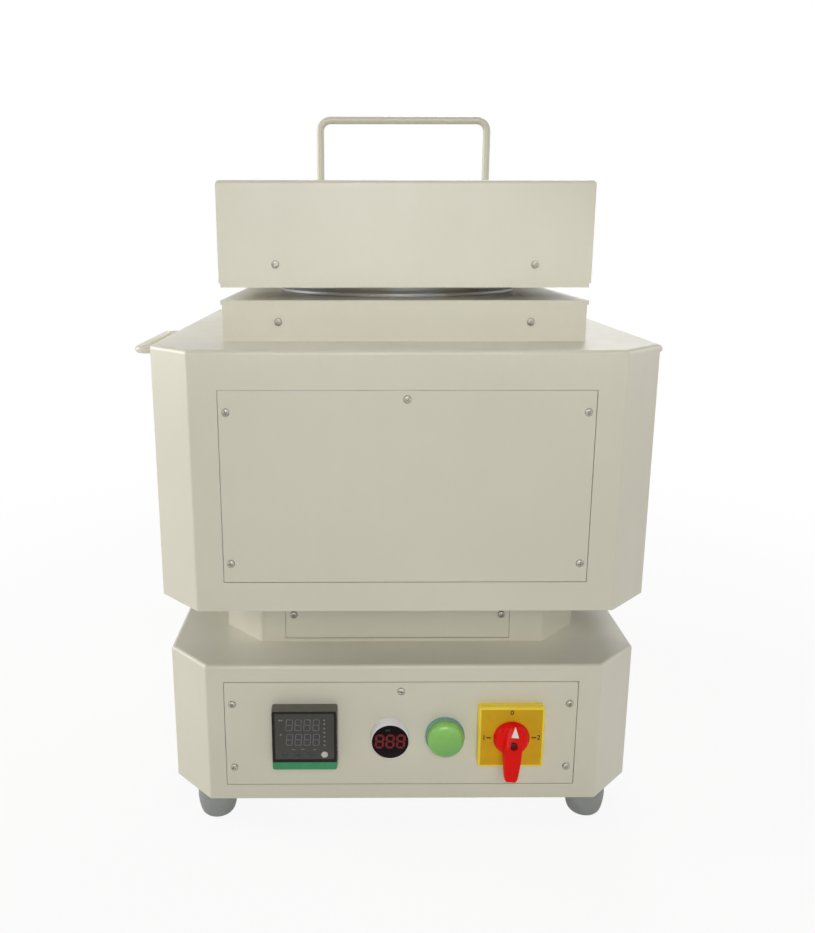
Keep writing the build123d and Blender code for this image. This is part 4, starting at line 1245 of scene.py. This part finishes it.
    def execute(self, context):
        place, half, _, _ = on_panel("switch_plate")
        low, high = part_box("switch_plate")
        width = 2 * half * MM
        depth = high.y - low.y
        plate = settle(self.plate(width, depth), place, angle=20)
        dress(plate, "plate", "furnace", "switch_plate")
        self.legend(place @ Matrix.Translation((0, 0, depth)), width)
        turned_place = place @ Matrix.Rotation(math.radians(-self.turn), 4, "Z")
        _, hub, foot, _ = on_panel("switch_handle")
        handle = settle(self.handle(hub, foot), turned_place, angle=32)
        dress(handle, "handle", "switch", "switch_handle")
        # The handle's screw gets a colour with painted shade of its recess and a painted reflection
        # of the red handle.
        for slot in frame["nodes"]["switch_handle_screw"].material_slots:
            slot.material = MATERIALS["screw_painted_shade"]
        self.pointer(turned_place)
        return {"FINISHED"}


class FURNACE_OT_cable_gland(bpy.types.Operator):
    """Models the mains cable gland: stem, hexagon, ribbed clamping cap and lock nut"""

    bl_idname = "furnace.cable_gland"
    bl_label = "Cable gland"

    bore = 5.0
    stem = 9.7
    mouth = 6.6
    cap = ((11.4, 6.0), (11.4, 16.0), (11.0, 18.5), (9.8, 21.0), (8.0, 23.0))
    sides = 72
    nuts = ((0.0, 6.0), (-6.5, -1.5))
    nut_radius = 13.0
    nut_bore = 9.8
    nut_round = 0.5
    ribs = 18
    rib_size = (0.9, 1.4, 9.0)
    rib_round = 0.25
    rib_ring = 11.5
    rib_middle = 11.2

    def nut(self, floor, ceiling):
        """Hexagon between two heights, bored for the stem."""
        height = (ceiling - floor) * MM
        piece = start(bpy.ops.mesh.primitive_cylinder_add, "hexagon", vertices=6,
                      radius=self.nut_radius * MM, depth=height,
                      location=(0, 0, (ceiling + floor) / 2 * MM))
        round_edges(self.nut_round * MM, segments=2, sharpness=40)
        drill(piece, self.nut_bore * MM, 8 * height, sides=self.sides)
        return piece

    def rib(self, angle):
        """Upright rib on the side of the cap."""
        piece = block("rib", [size * MM for size in self.rib_size])
        round_edges(self.rib_round * MM, segments=2)
        out = Matrix.Translation((self.rib_ring * MM, 0, self.rib_middle * MM))
        return settle(piece, Matrix.Rotation(angle, 4, "Z") @ out)

    def execute(self, context):
        low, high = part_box("mains_gland")
        middle = (low + high) / 2
        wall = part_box("base_shell")[1].y
        end = (high.y - wall) / MM
        inside = (low.y - wall) / MM
        profile = [(self.bore, inside), (self.stem, inside), (self.stem, self.cap[0][1])]
        profile += [*self.cap, (self.mouth, end), (self.bore, end), (self.bore, inside)]
        body = turned("mains_gland_moulded", profile, self.sides, hollow=True)
        to_object(body)
        parts = [body]
        parts += [self.nut(floor, ceiling) for floor, ceiling in self.nuts]
        parts += [self.rib(math.tau * index / self.ribs) for index in range(self.ribs)]
        piece = join(parts, "mains_gland_moulded")
        settle(piece, out_of_rear(middle.x, wall, middle.z), angle=35)
        dress(piece, "gland", "furnace", "mains_gland")
        return {"FINISHED"}


class FURNACE_OT_stage(bpy.types.Operator):
    """Sets up the pale floor, the soft lamps, the surroundings and the camera"""

    bl_idname = "furnace.stage"
    bl_label = "Stage"

    # Place, aim, width and height, and spread in degrees.
    lamps = {
        "left": ((-2.0, 0.2, 0.8), (0.0, 0.0, 0.25), (1.2, 1.2), 180),
        "right": ((2.0, 0.2, 0.8), (0.0, 0.0, 0.25), (1.2, 1.2), 180),
        "front": ((0.0, -1.4, 0.8), (0.0, 0.0, 0.2), (0.7, 0.7), 180),
        "rear": ((0.4, 1.5, 1.5), (0.0, 0.0, 0.25), (0.8, 0.8), 180),
        "overhead": ((0.0, 0.1, 1.45), (0.0, 0.0, 0.3), (0.9, 0.9), 180),
        "beam": ((0.0, -1.0, 0.60), (0.0, -0.13, 0.405), (0.36, 0.08), 9),
    }
    floor_size = 8.0
    # How near the middle the floor shows its shadows most, and how far off it is plain white.
    near = 0.30
    far = 1.00
    near_glow = 0.9
    white = (1.0, 1.0, 1.0)

    def seen_by_eye(self, tree):
        """1 for rays that show a thing to the camera, straight or through metal and glass."""
        path = add_node(tree, "ShaderNodeLightPath")
        glossy = add_node(tree, "ShaderNodeMath", {"operation": "MAXIMUM"}, {
            0: path.outputs["Is Camera Ray"], 1: path.outputs["Is Glossy Ray"]})
        return add_node(tree, "ShaderNodeMath", {"operation": "MAXIMUM"}, {
            0: glossy, 1: path.outputs["Is Transmission Ray"]})

    def floor(self):
        """Matt floor that keeps the object's shadow beside it and is plain white further off."""
        material = bpy.data.materials.new("pale_matt_floor")
        material.use_nodes = True
        tree = material.node_tree
        tree.nodes.clear()
        matt = add_node(tree, "ShaderNodeBsdfDiffuse", inputs={"Color": linear("f4f4f2")})
        glow = add_node(tree, "ShaderNodeEmission", inputs={"Color": self.white, "Strength": 1.0})
        place = add_node(tree, "ShaderNodeTexCoord").outputs["Object"]
        distance = add_node(tree, "ShaderNodeVectorMath", {"operation": "LENGTH"}, {0: place})
        whiter = add_node(tree, "ShaderNodeMapRange", {"interpolation_type": "SMOOTHSTEP"}, {
            "Value": distance.outputs["Value"], "From Min": self.near, "From Max": self.far,
            "To Min": self.near_glow, "To Max": 1.0})
        seen = add_node(tree, "ShaderNodeMath", {"operation": "MULTIPLY"}, {
            0: self.seen_by_eye(tree), 1: whiter})
        mix = add_node(tree, "ShaderNodeMixShader", inputs={0: seen, 1: matt, 2: glow})
        add_node(tree, "ShaderNodeOutputMaterial", inputs={"Surface": mix})
        floor = start(bpy.ops.mesh.primitive_plane_add, "floor", size=self.floor_size)
        to_object(floor)
        floor.data.materials.append(material)

    def surroundings(self, scene, strength):
        """Plain white that lights the object by this strength and shows as full white."""
        world = bpy.data.worlds.new("pale_surroundings")
        world.use_nodes = True
        tree = world.node_tree
        tree.nodes.clear()
        light = add_node(tree, "ShaderNodeBackground", inputs={
            "Color": self.white, "Strength": strength})
        shown = add_node(tree, "ShaderNodeBackground", inputs={
            "Color": self.white, "Strength": 1.0})
        mix = add_node(tree, "ShaderNodeMixShader", inputs={
            0: self.seen_by_eye(tree), 1: light, 2: shown})
        add_node(tree, "ShaderNodeOutputWorld", inputs={"Surface": mix})
        scene.world = world

    def lamp(self, name, place, aim, size, spread, power):
        """Flat lamp of this size that faces its aim."""
        light = bpy.data.lights.new(name, "AREA")
        light.shape = "RECTANGLE"
        light.size, light.size_y = size
        light.spread = math.radians(spread)
        light.energy = power
        lamp = bpy.data.objects.new(name, light)
        bpy.context.scene.collection.objects.link(lamp)
        lamp.location = place
        heading = Vector(aim) - Vector(place)
        lamp.rotation_euler = heading.to_track_quat("-Z", "Y").to_euler()

    def camera(self, scene, stage):
        """Camera at the photograph's place, shifted as its frame needs."""
        data = bpy.data.cameras.new("camera")
        data.sensor_fit = "VERTICAL"
        data.sensor_height = 36.0
        data.lens = stage.focal
        data.shift_x = stage.shift_x
        data.shift_y = stage.shift_y
        data.clip_start = 0.01
        camera = bpy.data.objects.new("camera", data)
        scene.collection.objects.link(camera)
        camera.location = stage.camera_place
        camera.rotation_euler = (math.pi / 2 - stage.pitch, 0, -stage.yaw)
        scene.camera = camera

    def execute(self, context):
        scene = context.scene
        stage = scene.furnace_stage
        self.floor()
        self.surroundings(scene, stage.sky)
        for name, (place, aim, size, spread) in self.lamps.items():
            self.lamp(name, place, aim, size, spread, getattr(stage, name))
        self.camera(scene, stage)
        scene.view_settings.view_transform = "Standard"
        return {"FINISHED"}


class FURNACE_PT_panel(bpy.types.Panel):
    """Lists the furnace's operators and properties"""

    bl_idname = "FURNACE_PT_panel"
    bl_label = "Furnace"
    bl_space_type = "VIEW_3D"
    bl_region_type = "UI"
    bl_category = "Furnace"

    def draw(self, context):
        layout = self.layout
        for operator in OPERATORS:
            layout.operator(operator.bl_idname)
        for group in (context.scene.furnace_colours, context.scene.furnace_sizes,
                      context.scene.furnace_stage):
            column = layout.column()
            for name in group.__annotations__:
                column.prop(group, name)


OPERATORS = (
    FURNACE_OT_finishes, FURNACE_OT_screws, FURNACE_OT_feet, FURNACE_OT_handles,
    FURNACE_OT_mouth_ring, FURNACE_OT_controller, FURNACE_OT_round_devices,
    FURNACE_OT_rotary_switch, FURNACE_OT_cable_gland, FURNACE_OT_stage)
CLASSES = (FurnaceColours, FurnaceSizes, FurnaceStage, *OPERATORS, FURNACE_PT_panel)


def register():
    for item in CLASSES:
        bpy.utils.register_class(item)
    bpy.types.Scene.furnace_colours = PointerProperty(type=FurnaceColours)
    bpy.types.Scene.furnace_sizes = PointerProperty(type=FurnaceSizes)
    bpy.types.Scene.furnace_stage = PointerProperty(type=FurnaceStage)


def unregister():
    del bpy.types.Scene.furnace_stage
    del bpy.types.Scene.furnace_sizes
    del bpy.types.Scene.furnace_colours
    for item in reversed(CLASSES):
        bpy.utils.unregister_class(item)


def main():
    register()
    bpy.ops.furnace.finishes()
    bpy.ops.furnace.screws()
    bpy.ops.furnace.feet()
    bpy.ops.furnace.handles()
    bpy.ops.furnace.mouth_ring()
    bpy.ops.furnace.controller()
    bpy.ops.furnace.round_devices()
    bpy.ops.furnace.rotary_switch()
    bpy.ops.furnace.cable_gland()
    bpy.ops.furnace.stage()


if __name__ == "__main__":
    main()
